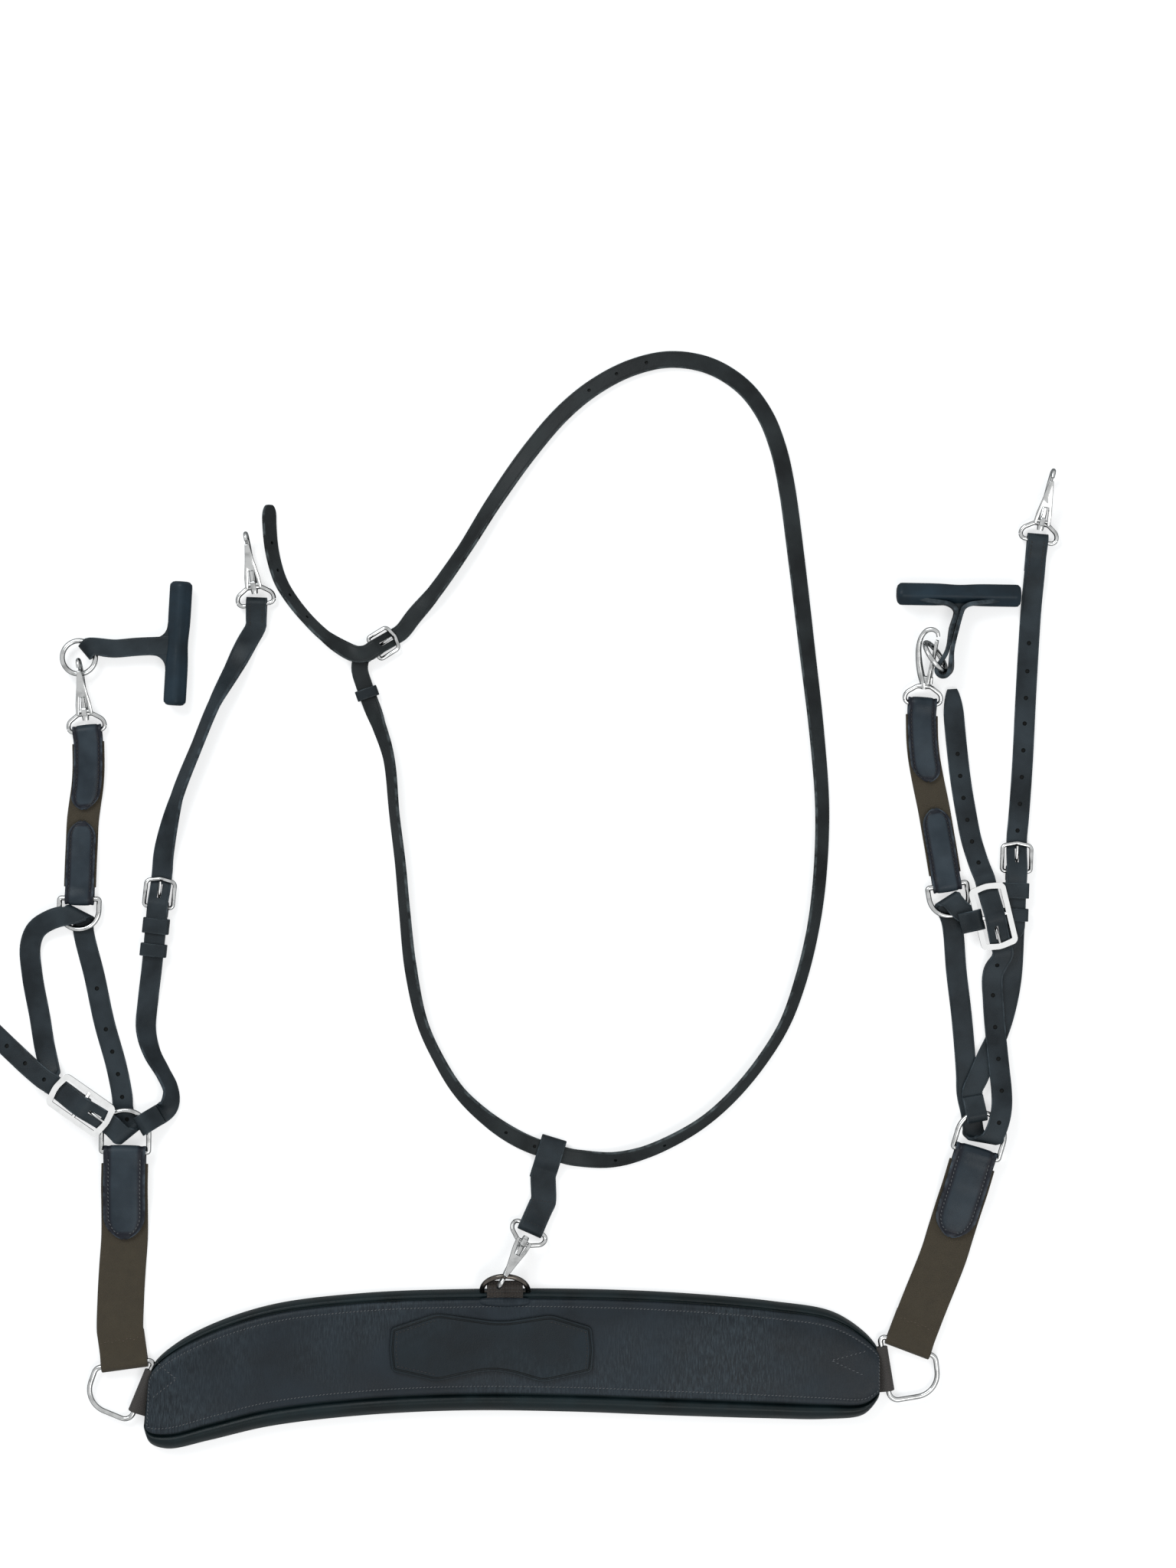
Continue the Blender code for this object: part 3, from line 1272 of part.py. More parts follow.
def build_side(side):
    """One side's elastics, rings, clip and toggle."""
    name = side["name"]
    dee = ring_frame(side, "end_dee", END_DEE_LEVEL)
    low = ring_frame(side, "lower_ring", HIGH_RING_LEVEL)
    high = ring_frame(side, "upper_ring", RING_LEVEL)
    eye, hook = clip_frames(side)
    hang(wide_elastic(side, dee, low), shoulder_frame(dee, side["hand"]).translation)
    tab(name + "_elastic_tab", behind(low), RING_WIRE, WIDE_TAB, WIDE_TAB_LENGTH)
    ring = wire_loop(name + "_lower_ring", low, dee_outline(LOWER_DEE_BAR, LOWER_DEE_DEPTH),
                     RING_WIRE, STEEL)
    hang(ring, low.translation)
    ring = wire_loop(name + "_upper_ring", high, dee_outline(UPPER_DEE_BAR, UPPER_DEE_DEPTH),
                     RING_WIRE, STEEL)
    hang(ring, high @ Vector((UPPER_DEE_DEPTH, 0, 0)))
    hang(upper_elastic(side, high), high.translation)
    below, above = side["sways"]
    tab(name + "_upper_tab_low", behind(high), RING_WIRE, NARROW_TAB, NARROW_TAB_LENGTH, below)
    tab(name + "_upper_tab_high", clip_tab_frame(side), SNAP_WIRE, NARROW_TAB,
        NARROW_TAB_LENGTH, above)
    build_snap(name + "_clip", eye, hook)
    frame = toggle_ring_frame(side)
    ring = wire_loop(name + "_toggle_ring", frame, ring_outline(TOGGLE_RING), RING_WIRE, STEEL)
    hang(ring, snap_seat(hook))
    toggle = RIGHT_TOGGLE if side["hand"] > 0 else LEFT_TOGGLE
    hang(toggle_piece(name + "_toggle", frame, toggle), toggle_wire(frame, toggle)[0])


def build_loop_belt(name, strap, frame, pivot):
    """A loop belt with its buckle and tongue."""
    half = LOOP_BUCKLE_LENGTH / 2
    hang(strap, pivot)
    hang(buckle_frame(name + "_loop_buckle_frame", frame, half, half, LOOP_BUCKLE_WIDTH), pivot)
    hang(tongue(name + "_loop_buckle_tongue", frame, half), frame.translation)


def build_girth(girth):
    """One girth branch with its buckle, keepers and snap."""
    name = girth["name"]
    frame = girth_buckle(girth)
    pivot = girth_eye(girth).translation
    strap = girth_strap(girth)
    combine(strap, girth_keeper(girth, FIXED_KEEPER_BACK, name + "_fixed_keeper"), "UNION")
    hang(strap, pivot)
    hang(girth_buckle_strap(girth), pivot)
    hang(buckle_frame(name + "_girth_buckle_frame", frame, GIRTH_BUCKLE_LENGTH, 0,
                      GIRTH_BUCKLE_WIDTH), pivot)
    hang(tongue(name + "_girth_buckle_tongue", frame, GIRTH_BUCKLE_LENGTH), frame.translation)
    girth_keeper(girth, SLIDING_KEEPER_BACK, name + "_girth_keeper")
    snap = girth_snap(girth)
    build_snap(name + "_girth_snap", snap, snap)


start_scene()
build_pad()
build_neck()
build_side(RIGHT)
build_side(LEFT)
build_loop_belt("right", right_loop_strap(), loop_frame(LOOP_BUCKLE_RIGHT),
                ring_frame(RIGHT, "lower_ring", HIGH_RING_LEVEL) @ Vector((LOWER_DEE_DEPTH, 0, 0)))
build_loop_belt("left", left_loop_strap(), loop_frame(LOOP_BUCKLE_LEFT),
                ring_frame(LEFT, "lower_ring", HIGH_RING_LEVEL) @ Vector((LOWER_DEE_DEPTH, 0, 0)))
build_girth(RIGHT_GIRTH)
build_girth(LEFT_GIRTH)
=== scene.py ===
import math

import bmesh
import bpy
from mathutils import Matrix, Vector


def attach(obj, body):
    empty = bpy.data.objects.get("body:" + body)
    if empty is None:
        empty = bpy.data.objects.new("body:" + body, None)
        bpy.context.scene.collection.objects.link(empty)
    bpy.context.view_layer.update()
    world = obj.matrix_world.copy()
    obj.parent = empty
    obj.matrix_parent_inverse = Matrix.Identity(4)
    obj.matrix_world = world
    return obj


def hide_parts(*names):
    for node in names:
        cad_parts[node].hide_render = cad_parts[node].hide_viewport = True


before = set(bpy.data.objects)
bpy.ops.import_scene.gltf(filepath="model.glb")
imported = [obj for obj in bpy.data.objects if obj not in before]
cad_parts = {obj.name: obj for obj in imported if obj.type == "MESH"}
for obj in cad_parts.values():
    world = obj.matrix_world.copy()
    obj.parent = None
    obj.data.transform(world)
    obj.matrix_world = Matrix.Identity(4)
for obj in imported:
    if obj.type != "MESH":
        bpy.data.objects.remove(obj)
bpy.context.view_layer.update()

MM = 0.001
UP = Vector((0, 0, 1))
bpy.ops.object.select_all(action="DESELECT")

# Sizes in millimetres, as the frame has them
FIT = 0.3
FLOOR_GAP = 0.3
STRAP = 16.0
THICK = 2.6
NECK = 13.0
WIDE_ELASTIC = 36.5
NARROW_ELASTIC = 25.0
ELASTIC = 2.2
WIDE_TAB = 32.5
NARROW_TAB = 22.0
RING_WIRE = 4.0
BUCKLE_WIRE = 3.2
SNAP_WIRE = 3.4
TONGUE_WIRE = 2.4
LOWER_DEE = (37.0, 32.5)
UPPER_DEE = (31.0, 24.0)
CENTRE_DEE = (36.0, 21.0)
TOGGLE_RING = 26.0
SNAP_EYE = 26.6
SNAP_LENGTH = 57.0
SNAP_NECK = 14.0
SNAP_PIN = (16.0, 0.0, 3.6)
LOOP_BUCKLE = (44.0, 25.0)
GIRTH_BUCKLE = (20.0, 22.6)
NECK_BUCKLE = (17.0, 19.6)
HALF = THICK / 2
LOW = FLOOR_GAP + HALF
LAYER = THICK + FIT
RING_TURN = RING_WIRE / 2 + FIT + HALF
RING_LEVEL = LOW + RING_TURN
HIGH_RING_LEVEL = RING_LEVEL + LAYER + 1.2
END_DEE_LEVEL = 6.2
CENTRE_DEE_LEVEL = 9.0
ELASTIC_LOW = FLOOR_GAP + ELASTIC / 2
EYE_TURN = SNAP_WIRE / 2 + FIT + HALF
EYE_LEVEL = LOW + EYE_TURN
BUCKLE_TURN = BUCKLE_WIRE / 2 + FIT + HALF
BUCKLE_LEVEL = LOW + BUCKLE_TURN + 0.1
CHAPE = 2.4
END_WEB = 35.0
CENTRE_WEB = 28.0
LOOP_TAB = 20.0
WIDE_TAB_LENGTH = 68.0
NARROW_TAB_LENGTH = 60.0
SNAP_SEAT = (SNAP_LENGTH - 12.0, 0, -1.8)
UPPER_BEND, LOWER_BEND = 8.8, 13.0
HOLE = 3.5
HOLE_SHADE = 0.3
PUNCH_LENGTH = THICK + 1.2
PUNCH_LIFT, HOLE_SHADE_DROP = 1.5, 1.75
SLOT_START, SLOT_LENGTH = 0.36, 10.5
KEEPER_THICK = 2.0
BUCKLE_BULGE = 2.2
BUCKLE_RIM, BUCKLE_PLATE = 2.1, 2.8
PITCH, PANEL_PITCH, PATCH_PITCH, WIDE_PITCH = 3.2, 2.8, 3.1, 3.4
SHEET_ANGLE, ROUND_ANGLE = 35, 50
BLOCK_BEVEL_ANGLE, SHEET_BEVEL_ANGLE, PLATE_BEVEL_ANGLE = 30, 55, 50
NEAR, FAR = 1.3, 2.6
TIP_PARTS, TIP_EASE, TIP_PAST = 8, 1.6, 1.08
RIM_REACH = 0.45
LEAST_SLANT = 0.5
GROOVE_START, GROOVE_END = 0.7, 0.86
TINY = 1e-6


# Places and routes

def rotation(degrees, axis):
    return Matrix.Rotation(math.radians(degrees), 4, axis)


def frame_at(place, heading, pitch=0.0):
    """A local frame at a place, turned by its heading and lifted by its pitch, in degrees."""
    return Matrix.Translation(place) @ rotation(heading, "Z") @ rotation(-pitch, "Y")


def behind(place):
    return place @ rotation(180, "Z")


def direction(place, *line):
    return place.to_3x3() @ Vector(line)


def bearing(degrees):
    return Vector((math.cos(math.radians(degrees)), math.sin(math.radians(degrees)), 0))


def local(place, x, y, z):
    """A knot in a local frame: its spot, and the frame's own y as its direction across."""
    return place @ Vector((x, y, z)), direction(place, 0, 1, 0)


def profile(place, spots, shift=0.0):
    return [local(place, x, shift, z) for x, z in spots]


def free(x, y, z=LOW, roll=0.0):
    return Vector((x, y, z)), roll


def flats(*spots):
    return [free(*spot) for spot in spots]


def resting(x, y, roll, width):
    turn = math.radians(abs(roll))
    return free(x, y, FLOOR_GAP + width / 2 * math.sin(turn) + HALF * math.cos(turn), roll)


def way(spots, width=STRAP):
    """Knots on the table, from x, y and roll, and above it, from x, y, z and roll."""
    return [resting(*spot, width) if len(spot) == 3 else free(*spot) for spot in spots]


def sewn_end(place, wire, thick, lap, sag=0.0, lap_above=True, floor=None):
    """The end of a strap sewn round a bar: its lap, the turn and the layer that goes on."""
    turn = wire / 2 + FIT + sag / 2 + thick / 2
    low = -turn if floor is None else floor
    second = low + thick + FIT
    near, far = NEAR * turn, FAR * turn
    lean = math.sqrt(0.5) * turn
    upper = [(0, turn), (near, (turn + second) / 2), (far, second)]
    round_wire = [(-lean, lean), (-turn, 0), (-lean, -lean)]
    lower = [(0, -turn), (near, -turn if floor is None else (low - turn) / 2)]
    if floor is not None:
        lower.append((far, low))
    if lap_above:
        rows = [(lap, second)] + upper[::-1] + round_wire + lower
    else:
        rows = [(lap, low)] + lower[::-1] + round_wire[::-1] + upper
        if lap > far + 2 * thick:
            rows.append((lap - thick, second))
        rows.append((max(lap, far) + thick, second))
    return profile(place, rows)


def slanted_turn(x, y, heading_in, heading_out, high):
    """A strap's half turn round a bar that it meets at a slant."""
    radius = (high - LOW) / 2
    enter, leave = bearing(heading_in), bearing(heading_out)
    line = (enter + leave).normalized()
    ahead = (enter - line * enter.dot(line)).normalized()
    slip = enter.dot(line) / enter.dot(ahead)
    knots = []
    for step in range(-2, 3):
        angle = step * math.pi / 4
        normal = ahead * math.cos(angle) + UP * math.sin(angle)
        spot = Vector((x, y, LOW + radius)) + normal * radius
        knots.append((spot + line * (radius * angle * slip), line))
    return knots


def curve_point(spots, index, share):
    """A place on a smooth curve through all spots, in the stretch after one of them."""
    first = spots[index - 1] if index > 0 else spots[0] * 2 - spots[1]
    last = spots[index + 2] if index + 2 < len(spots) else spots[-1] * 2 - spots[-2]
    four = (first, spots[index], spots[index + 1], last)
    times = [0.0]
    for one, two in zip(four, four[1:]):
        times.append(times[-1] + max((two - one).length, TINY) ** 0.5)
    now = times[1] + (times[2] - times[1]) * share

    def blend(one, two, start, end):
        return one * ((end - now) / (end - start)) + two * ((now - start) / (end - start))

    row = [blend(four[i], four[i + 1], times[i], times[i + 1]) for i in range(3)]
    row = [blend(row[i], row[i + 1], times[i], times[i + 2]) for i in range(2)]
    return blend(row[0], row[1], times[1], times[2])


def knot_sides(knots):
    """The direction across a strap at each knot, from its given direction or its roll."""
    spots = [spot for spot, _ in knots]
    sides = []
    for index, (_, given) in enumerate(knots):
        along = (spots[min(index + 1, len(spots) - 1)] - spots[max(index - 1, 0)]).normalized()
        if isinstance(given, Vector):
            side = given.normalized()
        else:
            side = UP.cross(along).normalized()
            if sides and side.dot(sides[-1]) < 0:
                side = -side
            over = (UP - along * UP.dot(along)).normalized()
            roll = math.radians(given)
            side = side * math.cos(roll) + over * math.sin(roll)
        if sides and side.dot(sides[-1]) < 0:
            side = -side
        sides.append(side)
    return sides


def off_table(spot, side, width, thick):
    """A spot, raised where the strap's edge would else sink into the table."""
    tilt = abs(side.normalized().z)
    least = FLOOR_GAP + width / 2 * tilt + thick / 2 * math.sqrt(1 - min(tilt * tilt, 1.0))
    return Vector((spot.x, spot.y, max(spot.z, least)))


def stations(knots, width, thick=THICK, step=4.0, bend=8.0):
    """Close places along a route, each with its direction across, near even in spacing."""
    spots = [spot for spot, _ in knots]
    sides = knot_sides(knots)
    rows = []
    for index in range(len(spots) - 1):
        length = (spots[index + 1] - spots[index]).length
        before = spots[index + 1] - spots[max(index - 1, 0)]
        after = spots[min(index + 2, len(spots) - 1)] - spots[index]
        turn = math.degrees(before.angle(after, 0.0))
        count = max(1, math.ceil(length / step), math.ceil(turn / bend))
        rows += [(curve_point(spots, index, part / count),
                  sides[index].lerp(sides[index + 1], part / count)) for part in range(count)]
    rows.append((spots[-1], sides[-1]))
    return [(off_table(spot, side, width, thick), side.normalized()) for spot, side in rows]


def lengths(rows):
    run = [0.0]
    for one, two in zip(rows, rows[1:]):
        run.append(run[-1] + (two[0] - one[0]).length)
    return run


def between(rows, run, reach):
    """What rows hold at a distance along them, and the way they run there."""
    index = max(i for i in range(len(run) - 1) if run[i] <= reach)
    share = (reach - run[index]) / max(run[index + 1] - run[index], TINY)
    one, two = rows[index], rows[index + 1]
    return one[0].lerp(two[0], share), one[1].lerp(two[1], share), (two[0] - one[0]).normalized()


def with_point(rows, length):
    """Closer places at the end of a strap, where its point is cut."""
    rows = rows[::-1]
    run = lengths(rows)
    fresh = [between(rows, run, length * (part / TIP_PARTS) ** TIP_EASE)[:2]
             for part in range(TIP_PARTS + 1)]
    return (fresh + [row for row, reach in zip(rows, run) if reach > length * TIP_PAST])[::-1]


def spot_on(rows, reach, across=0.0, lift=0.0):
    """A place along a strap, across it and out of its face, with its line and its normal."""
    run = lengths(rows)
    spot, side, along = between(rows, run, min(reach, run[-1] - 1e-4))
    side = (side - along * side.dot(along)).normalized()
    normal = along.cross(side).normalized()
    return spot + side * across + normal * lift, along, normal


# Making pieces

def active(item):
    bpy.ops.object.select_all(action="DESELECT")
    item.select_set(True)
    bpy.context.view_layer.objects.active = item
    return item


def made(tool, **values):
    """What one of the adding tools makes, with nothing selected before it."""
    bpy.ops.object.select_all(action="DESELECT")
    tool(**values)
    return bpy.context.active_object


def linked(name, data):
    item = bpy.data.objects.new(name, data)
    bpy.context.scene.collection.objects.link(item)
    return item


def modifier(item, kind, **values):
    """Add a modifier with its settings and apply it."""
    step = item.modifiers.new(kind.lower(), kind)
    for key, value in values.items():
        setattr(step, key, value)
    active(item)
    bpy.ops.object.modifier_apply(modifier=step.name)
    return item


def bevelled(item, width, angle, segments=2):
    if width:
        modifier(item, "BEVEL", width=width * MM, segments=segments, limit_method="ANGLE",
                 angle_limit=math.radians(angle))
    return item


def smooth(item, angle=SHEET_ANGLE):
    active(item)
    bpy.ops.object.shade_smooth_by_angle(angle=math.radians(angle))
    return item


def piece(item, name, body, material, nodes=()):
    """Name a finished piece, give it its material, its body and the nodes it stands for."""
    item.name = name
    item.data.name = name
    item.data.materials.clear()
    item.data.materials.append(material)
    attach(item, body)
    if nodes:
        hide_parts(*nodes)
    return item


def cut(item, cutter):
    """Cut one solid out of another."""
    modifier(item, "BOOLEAN", operation="DIFFERENCE", solver="MANIFOLD", object=cutter)
    bpy.data.objects.remove(cutter, do_unlink=True)
    return smooth(item)


def joined(items):
    """Several solids in one object."""
    active(items[0])
    for item in items:
        item.select_set(True)
    bpy.ops.object.join()
    return items[0]


def settle(item, place):
    """Move a mesh made at the origin to its local frame."""
    placed = place.copy()
    placed.translation *= MM
    item.data.transform(placed)
    return item


def block(place, low, high, bevel=0.0):
    item = made(bpy.ops.mesh.primitive_cube_add, size=1.0)
    size = Vector(high) - Vector(low)
    middle = (Vector(high) + Vector(low)) / 2
    item.data.transform(Matrix.Translation(middle * MM) @ Matrix.Diagonal((*(size * MM), 1)))
    return settle(bevelled(item, bevel, BLOCK_BEVEL_ANGLE), place)


def peg(place, centre, diameter, length, upright=False, bevel=0.0, sides=24):
    item = made(bpy.ops.mesh.primitive_cylinder_add, vertices=sides, radius=diameter / 2 * MM,
                depth=length * MM)
    turn = Matrix() if upright else rotation(90, "X")
    item.data.transform(Matrix.Translation(Vector(centre) * MM) @ turn)
    return settle(bevelled(item, bevel, BLOCK_BEVEL_ANGLE), place)


ACROSS = (-1.0, -0.86, -0.45, 0.0, 0.45, 0.86, 1.0)
TAB_ACROSS = (-1.0, -0.93, -0.83, -0.74, -0.64, -0.35, 0.0, 0.35, 0.64, 0.74, 0.83, 0.93, 1.0)
TAB_POINT = 0.56
TAB_BACK = 26.0
TAB_ARCH = (0.06, 0.62)
TAIL_ARCH = (0.45, 0.8)
PLAIN_ARCH = (0.25, 0.5)


def arched(distance, length, arch):
    """A pointed end's share of the full width, at a distance from its tip."""
    blunt, power = arch
    rest = max(0.0, 1.0 - distance / length)
    return blunt + (1.0 - blunt) * (1.0 - rest * rest) ** power


def strap_sheet(rows, width, thick=THICK, point=0.0, bevel=0.6, crown=0.0, arch=PLAIN_ARCH,
                across=ACROSS, groove=0.0):
    """A strap laid along a route: a grid bent to it, given its thickness and rounded edges."""
    if point:
        rows = with_point(rows, point)
    run = lengths(rows)
    count = len(rows)
    item = made(bpy.ops.mesh.primitive_grid_add, x_subdivisions=count - 1,
                y_subdivisions=len(across) - 1, size=2)
    mesh = item.data
    rim = mesh.attributes.new("rim", "FLOAT", "POINT")
    table = []
    for corner in mesh.vertices:
        index = round((corner.co.x + 1) / 2 * (count - 1))
        share = across[round((corner.co.y + 1) / 2 * (len(across) - 1))]
        scale, edge, distance = 1.0, abs(share), run[-1] - run[index]
        if distance < point:
            scale = arched(distance, point, arch)
            edge = max(edge, 1.0 - distance / (width * RIM_REACH))
        rim.data[corner.index].value = edge
        along = (rows[min(index + 1, count - 1)][0] - rows[max(index - 1, 0)][0]).normalized()
        side = rows[index][1]
        normal = along.cross(side).normalized()
        slant = max(side.cross(along).length, LEAST_SLANT)
        spot = rows[index][0] + side * (share * scale * width / 2 / slant)
        spot += normal * (crown * (1 - share * share))
        spot -= normal * (groove if GROOVE_START < abs(share) < GROOVE_END else 0.0)
        table.append((run[index] * MM, share * scale * width / 2 * MM))
        corner.co = spot * MM
    layer = mesh.uv_layers.active or mesh.uv_layers.new(name="UVMap")
    for loop in mesh.loops:
        layer.data[loop.index].uv = table[loop.vertex_index]
    modifier(item, "SOLIDIFY", thickness=thick * MM, offset=0.0)
    return smooth(bevelled(item, bevel, SHEET_BEVEL_ANGLE))


def arc_corners(corners, arc=8.0):
    """A closed outline from corners given as x, y and the radius that rounds them."""
    points = []
    for index, (x, y, radius) in enumerate(corners):
        here = Vector((x, y))
        before = (Vector(corners[index - 1][:2]) - here).normalized()
        after = (Vector(corners[(index + 1) % len(corners)][:2]) - here).normalized()
        angle = before.angle(after)
        start = here + before * (radius / math.tan(angle / 2))
        centre = here + (before + after).normalized() * (radius / math.sin(angle / 2))
        sweep = math.pi - angle
        count = max(2, math.ceil(math.degrees(sweep) / arc))
        spoke = start - centre
        turning = -1 if before.cross(after) > 0 else 1
        for part in range(count + 1):
            turn = turning * sweep * part / count
            points.append((centre.x + spoke.x * math.cos(turn) - spoke.y * math.sin(turn),
                           centre.y + spoke.x * math.sin(turn) + spoke.y * math.cos(turn)))
    return points


def in_edit(*steps):
    """Run mesh tools on all of the active object."""
    bpy.ops.object.mode_set(mode="EDIT")
    bpy.ops.mesh.select_all(action="SELECT")
    for tool, values in steps:
        tool(**values)
    bpy.ops.mesh.select_all(action="SELECT")
    bpy.ops.mesh.normals_make_consistent(inside=False)
    bpy.ops.object.mode_set(mode="OBJECT")


def wire(place, points, radii, closed):
    """A round wire through points of a local frame, as a mesh."""
    curve = bpy.data.curves.new("wire", "CURVE")
    curve.dimensions = "3D"
    curve.bevel_depth = MM
    curve.bevel_resolution = 6
    curve.use_fill_caps = not closed
    spline = curve.splines.new("POLY")
    spline.points.add(len(points) - 1)
    for point, spot, radius in zip(spline.points, points, radii):
        point.co = (*((place @ Vector(spot)) * MM), 1.0)
        point.radius = radius
    spline.use_cyclic_u = closed
    active(linked("wire", curve))
    bpy.ops.object.convert(target="MESH")
    in_edit((bpy.ops.mesh.remove_doubles, {"threshold": TINY}))
    return smooth(bpy.context.active_object, ROUND_ANGLE)


def loop_wire(place, outline, diameter):
    return wire(place, [(x, y, 0) for x, y in outline], [diameter / 2] * len(outline), True)


def rounded_wire(place, path, radii):
    """A tapering wire through a few places, smoothed along its length."""
    spots = [Vector(spot) for spot in path]
    steps = [(index, part / 5) for index in range(len(spots) - 1) for part in range(5)]
    points = [curve_point(spots, index, share) for index, share in steps]
    sizes = [radii[index] + (radii[index + 1] - radii[index]) * share for index, share in steps]
    return wire(place, points + [spots[-1]], sizes + [radii[-1]], False)


def plate(place, outline, thick, bevel, border=0.0, groove=0.0):
    """A flat plate of an outline, with rounded edges and, if asked, a groove inside its border."""
    item = made(bpy.ops.mesh.primitive_circle_add, vertices=len(outline), radius=1.0,
                fill_type="NGON")
    for corner, (x, y) in zip(item.data.vertices, outline):
        corner.co = (x * MM, y * MM, -thick / 2 * MM)
    steps = [(bpy.ops.mesh.extrude_region_move,
              {"TRANSFORM_OT_translate": {"value": (0, 0, thick * MM)}})]
    if border:
        steps += [(bpy.ops.mesh.inset, {"thickness": width * MM, "depth": depth * MM})
                  for width, depth in ((border, 0.0), (0.7, -groove), (0.9, groove))]
    in_edit(*steps)
    return smooth(settle(bevelled(item, bevel, PLATE_BEVEL_ANGLE, 3), place))


def dee_outline(bar, depth, corner=1.6):
    """The outline of a ring with a straight bar and a round bow."""
    half = bar / 2
    centre = depth - half
    angles = [math.radians(90 - turn) for turn in range(0, 181, 6)]
    points = [(centre + half * math.cos(angle), half * math.sin(angle)) for angle in angles]
    for hand in (-1, 1):
        arc = [(corner * (1 - math.sin(math.radians(turn))),
                hand * (half - corner * (1 - math.cos(math.radians(turn)))))
               for turn in (0, 22.5, 45, 67.5, 90)]
        points += arc if hand < 0 else arc[::-1]
    return points


def loft(sections):
    """A closed skin over matching closed sections, in millimetres."""
    shape = bmesh.new()
    rings = [[shape.verts.new(Vector(spot) * MM) for spot in section] for section in sections]
    count = len(rings[0])
    for one, two in zip(rings, rings[1:]):
        for index in range(count):
            after = (index + 1) % count
            shape.faces.new((one[index], one[after], two[after], two[index]))
    shape.faces.new(rings[0])
    shape.faces.new(rings[-1][::-1])
    bmesh.ops.recalc_face_normals(shape, faces=shape.faces)
    mesh = bpy.data.meshes.new("loft")
    shape.to_mesh(mesh)
    shape.free()
    return smooth(linked("loft", mesh), ROUND_ANGLE)


# Stitching: one stitch is modelled, then copied along each seam

def one_stitch():
    """The corners and faces of one stitch, with the faces in a fixed order."""
    item = made(bpy.ops.mesh.primitive_uv_sphere_add, segments=6, ring_count=4, radius=1.0)
    corners = [tuple(corner.co) for corner in item.data.vertices]
    faces = sorted(tuple(face.vertices) for face in item.data.polygons)
    bpy.data.objects.remove(item, do_unlink=True)
    return corners, faces


STITCH = one_stitch()


def stitching(name, body, places, material, length, girth, slant=12.0):
    """A row of stitches: each lies at a place, along a direction, half sunk in the leather."""
    corners, faces, base = [], [], 0
    turn = math.radians(slant)
    for spot, along, normal in places:
        side = normal.cross(along)
        lead = along * math.cos(turn) + side * math.sin(turn)
        beside = normal.cross(lead)
        for x, y, z in STITCH[0]:
            corners.append((spot + lead * (x * length / 2) + beside * (y * girth / 2)
                            + normal * (z * girth / 2)) * MM)
        faces += [tuple(base + index for index in face) for face in STITCH[1]]
        base += len(STITCH[0])
    mesh = bpy.data.meshes.new(name)
    mesh.from_pydata(corners, [], faces)
    item = active(linked(name, mesh))
    bpy.ops.object.shade_smooth()
    return piece(item, name, body, material)


def seam(rows, start, end, across, pitch=PITCH, under=False):
    """Places of a straight seam on a strap, at a distance across it."""
    count = max(1, int(abs(end - start) / pitch))
    places = []
    for step in range(count + 1):
        spot, along, normal = spot_on(rows, start + (end - start) * step / count, across,
                                      -HALF if under else HALF)
        places.append((spot, along, -normal if under else normal))
    return places


def cross_stitch(rows, reach, across, lift=HALF):
    """The place of one stitch that lies across a strap."""
    spot, along, normal = spot_on(rows, reach, across, lift)
    return spot, normal.cross(along), normal


def path_seam(points, pitch):
    """Places at an even pitch along a line of points with their normals."""
    run = lengths(points)
    count = max(1, round(run[-1] / pitch))
    places = []
    for step in range(count):
        spot, normal, along = between(points, run, run[-1] * (step + 0.5) / count)
        places.append((spot, along, normal.normalized()))
    return places


# Materials

def feed(tree, socket, value):
    """Give a socket its value, or link the output that feeds it."""
    if isinstance(value, bpy.types.NodeSocket):
        tree.links.new(value, socket)
    else:
        socket.default_value = value


def add(tree, kind, inputs=None, **values):
    """The outputs of a new node with its settings and inputs."""
    node = tree.nodes.new("ShaderNode" + kind)
    for key, value in values.items():
        setattr(node, key, value)
    for key, value in (inputs or {}).items():
        feed(tree, node.inputs[key], value)
    return node.outputs


def maths(tree, operation, one, two=0.0, three=0.0, clamp=False):
    return add(tree, "Math", {0: one, 1: two, 2: three}, operation=operation, use_clamp=clamp)[0]


def times(tree, one, two, more=None, clamp=False):
    """One value times another and, if asked, a third added to them."""
    if more is None:
        return maths(tree, "MULTIPLY", one, two, clamp=clamp)
    return maths(tree, "MULTIPLY_ADD", one, two, more, clamp)


def mix(tree, share, one, two):
    """A mix of two colours, each a tuple of three or a socket."""
    one, two = [(*value, 1) if isinstance(value, tuple) else value for value in (one, two)]
    return add(tree, "Mix", {0: share, 6: one, 7: two}, data_type="RGBA")[2]


def noise(tree, place, scale, detail=2.0, rough=0.5, distort=0.0):
    return add(tree, "TexNoise", {"Vector": place, "Scale": scale, "Detail": detail,
                                  "Roughness": rough, "Distortion": distort})[0]


def spread(tree, value, low, high, top=1.0):
    """A value stretched from between low and high to between 0 and top."""
    return add(tree, "MapRange", {0: value, 1: low, 2: high, 4: top})[0]


def stretched(tree, place, scale):
    return add(tree, "VectorMath", {0: place, 1: scale}, operation="MULTIPLY")[0]


def bump(tree, strength, distance, height):
    return add(tree, "Bump", {"Strength": strength, "Distance": distance, "Height": height})[0]


def rim_value(tree):
    return add(tree, "Attribute", attribute_name="rim")["Fac"]


def material_of(name):
    """A new material, its node tree and the place on the object."""
    material = bpy.data.materials.new(name)
    material.use_nodes = True
    tree = material.node_tree
    return material, tree, add(tree, "TexCoord")["Object"]


def principled(tree, **values):
    shader = tree.nodes["Principled BSDF"]
    for key, value in values.items():
        feed(tree, shader.inputs[key.replace("_", " ")], value)


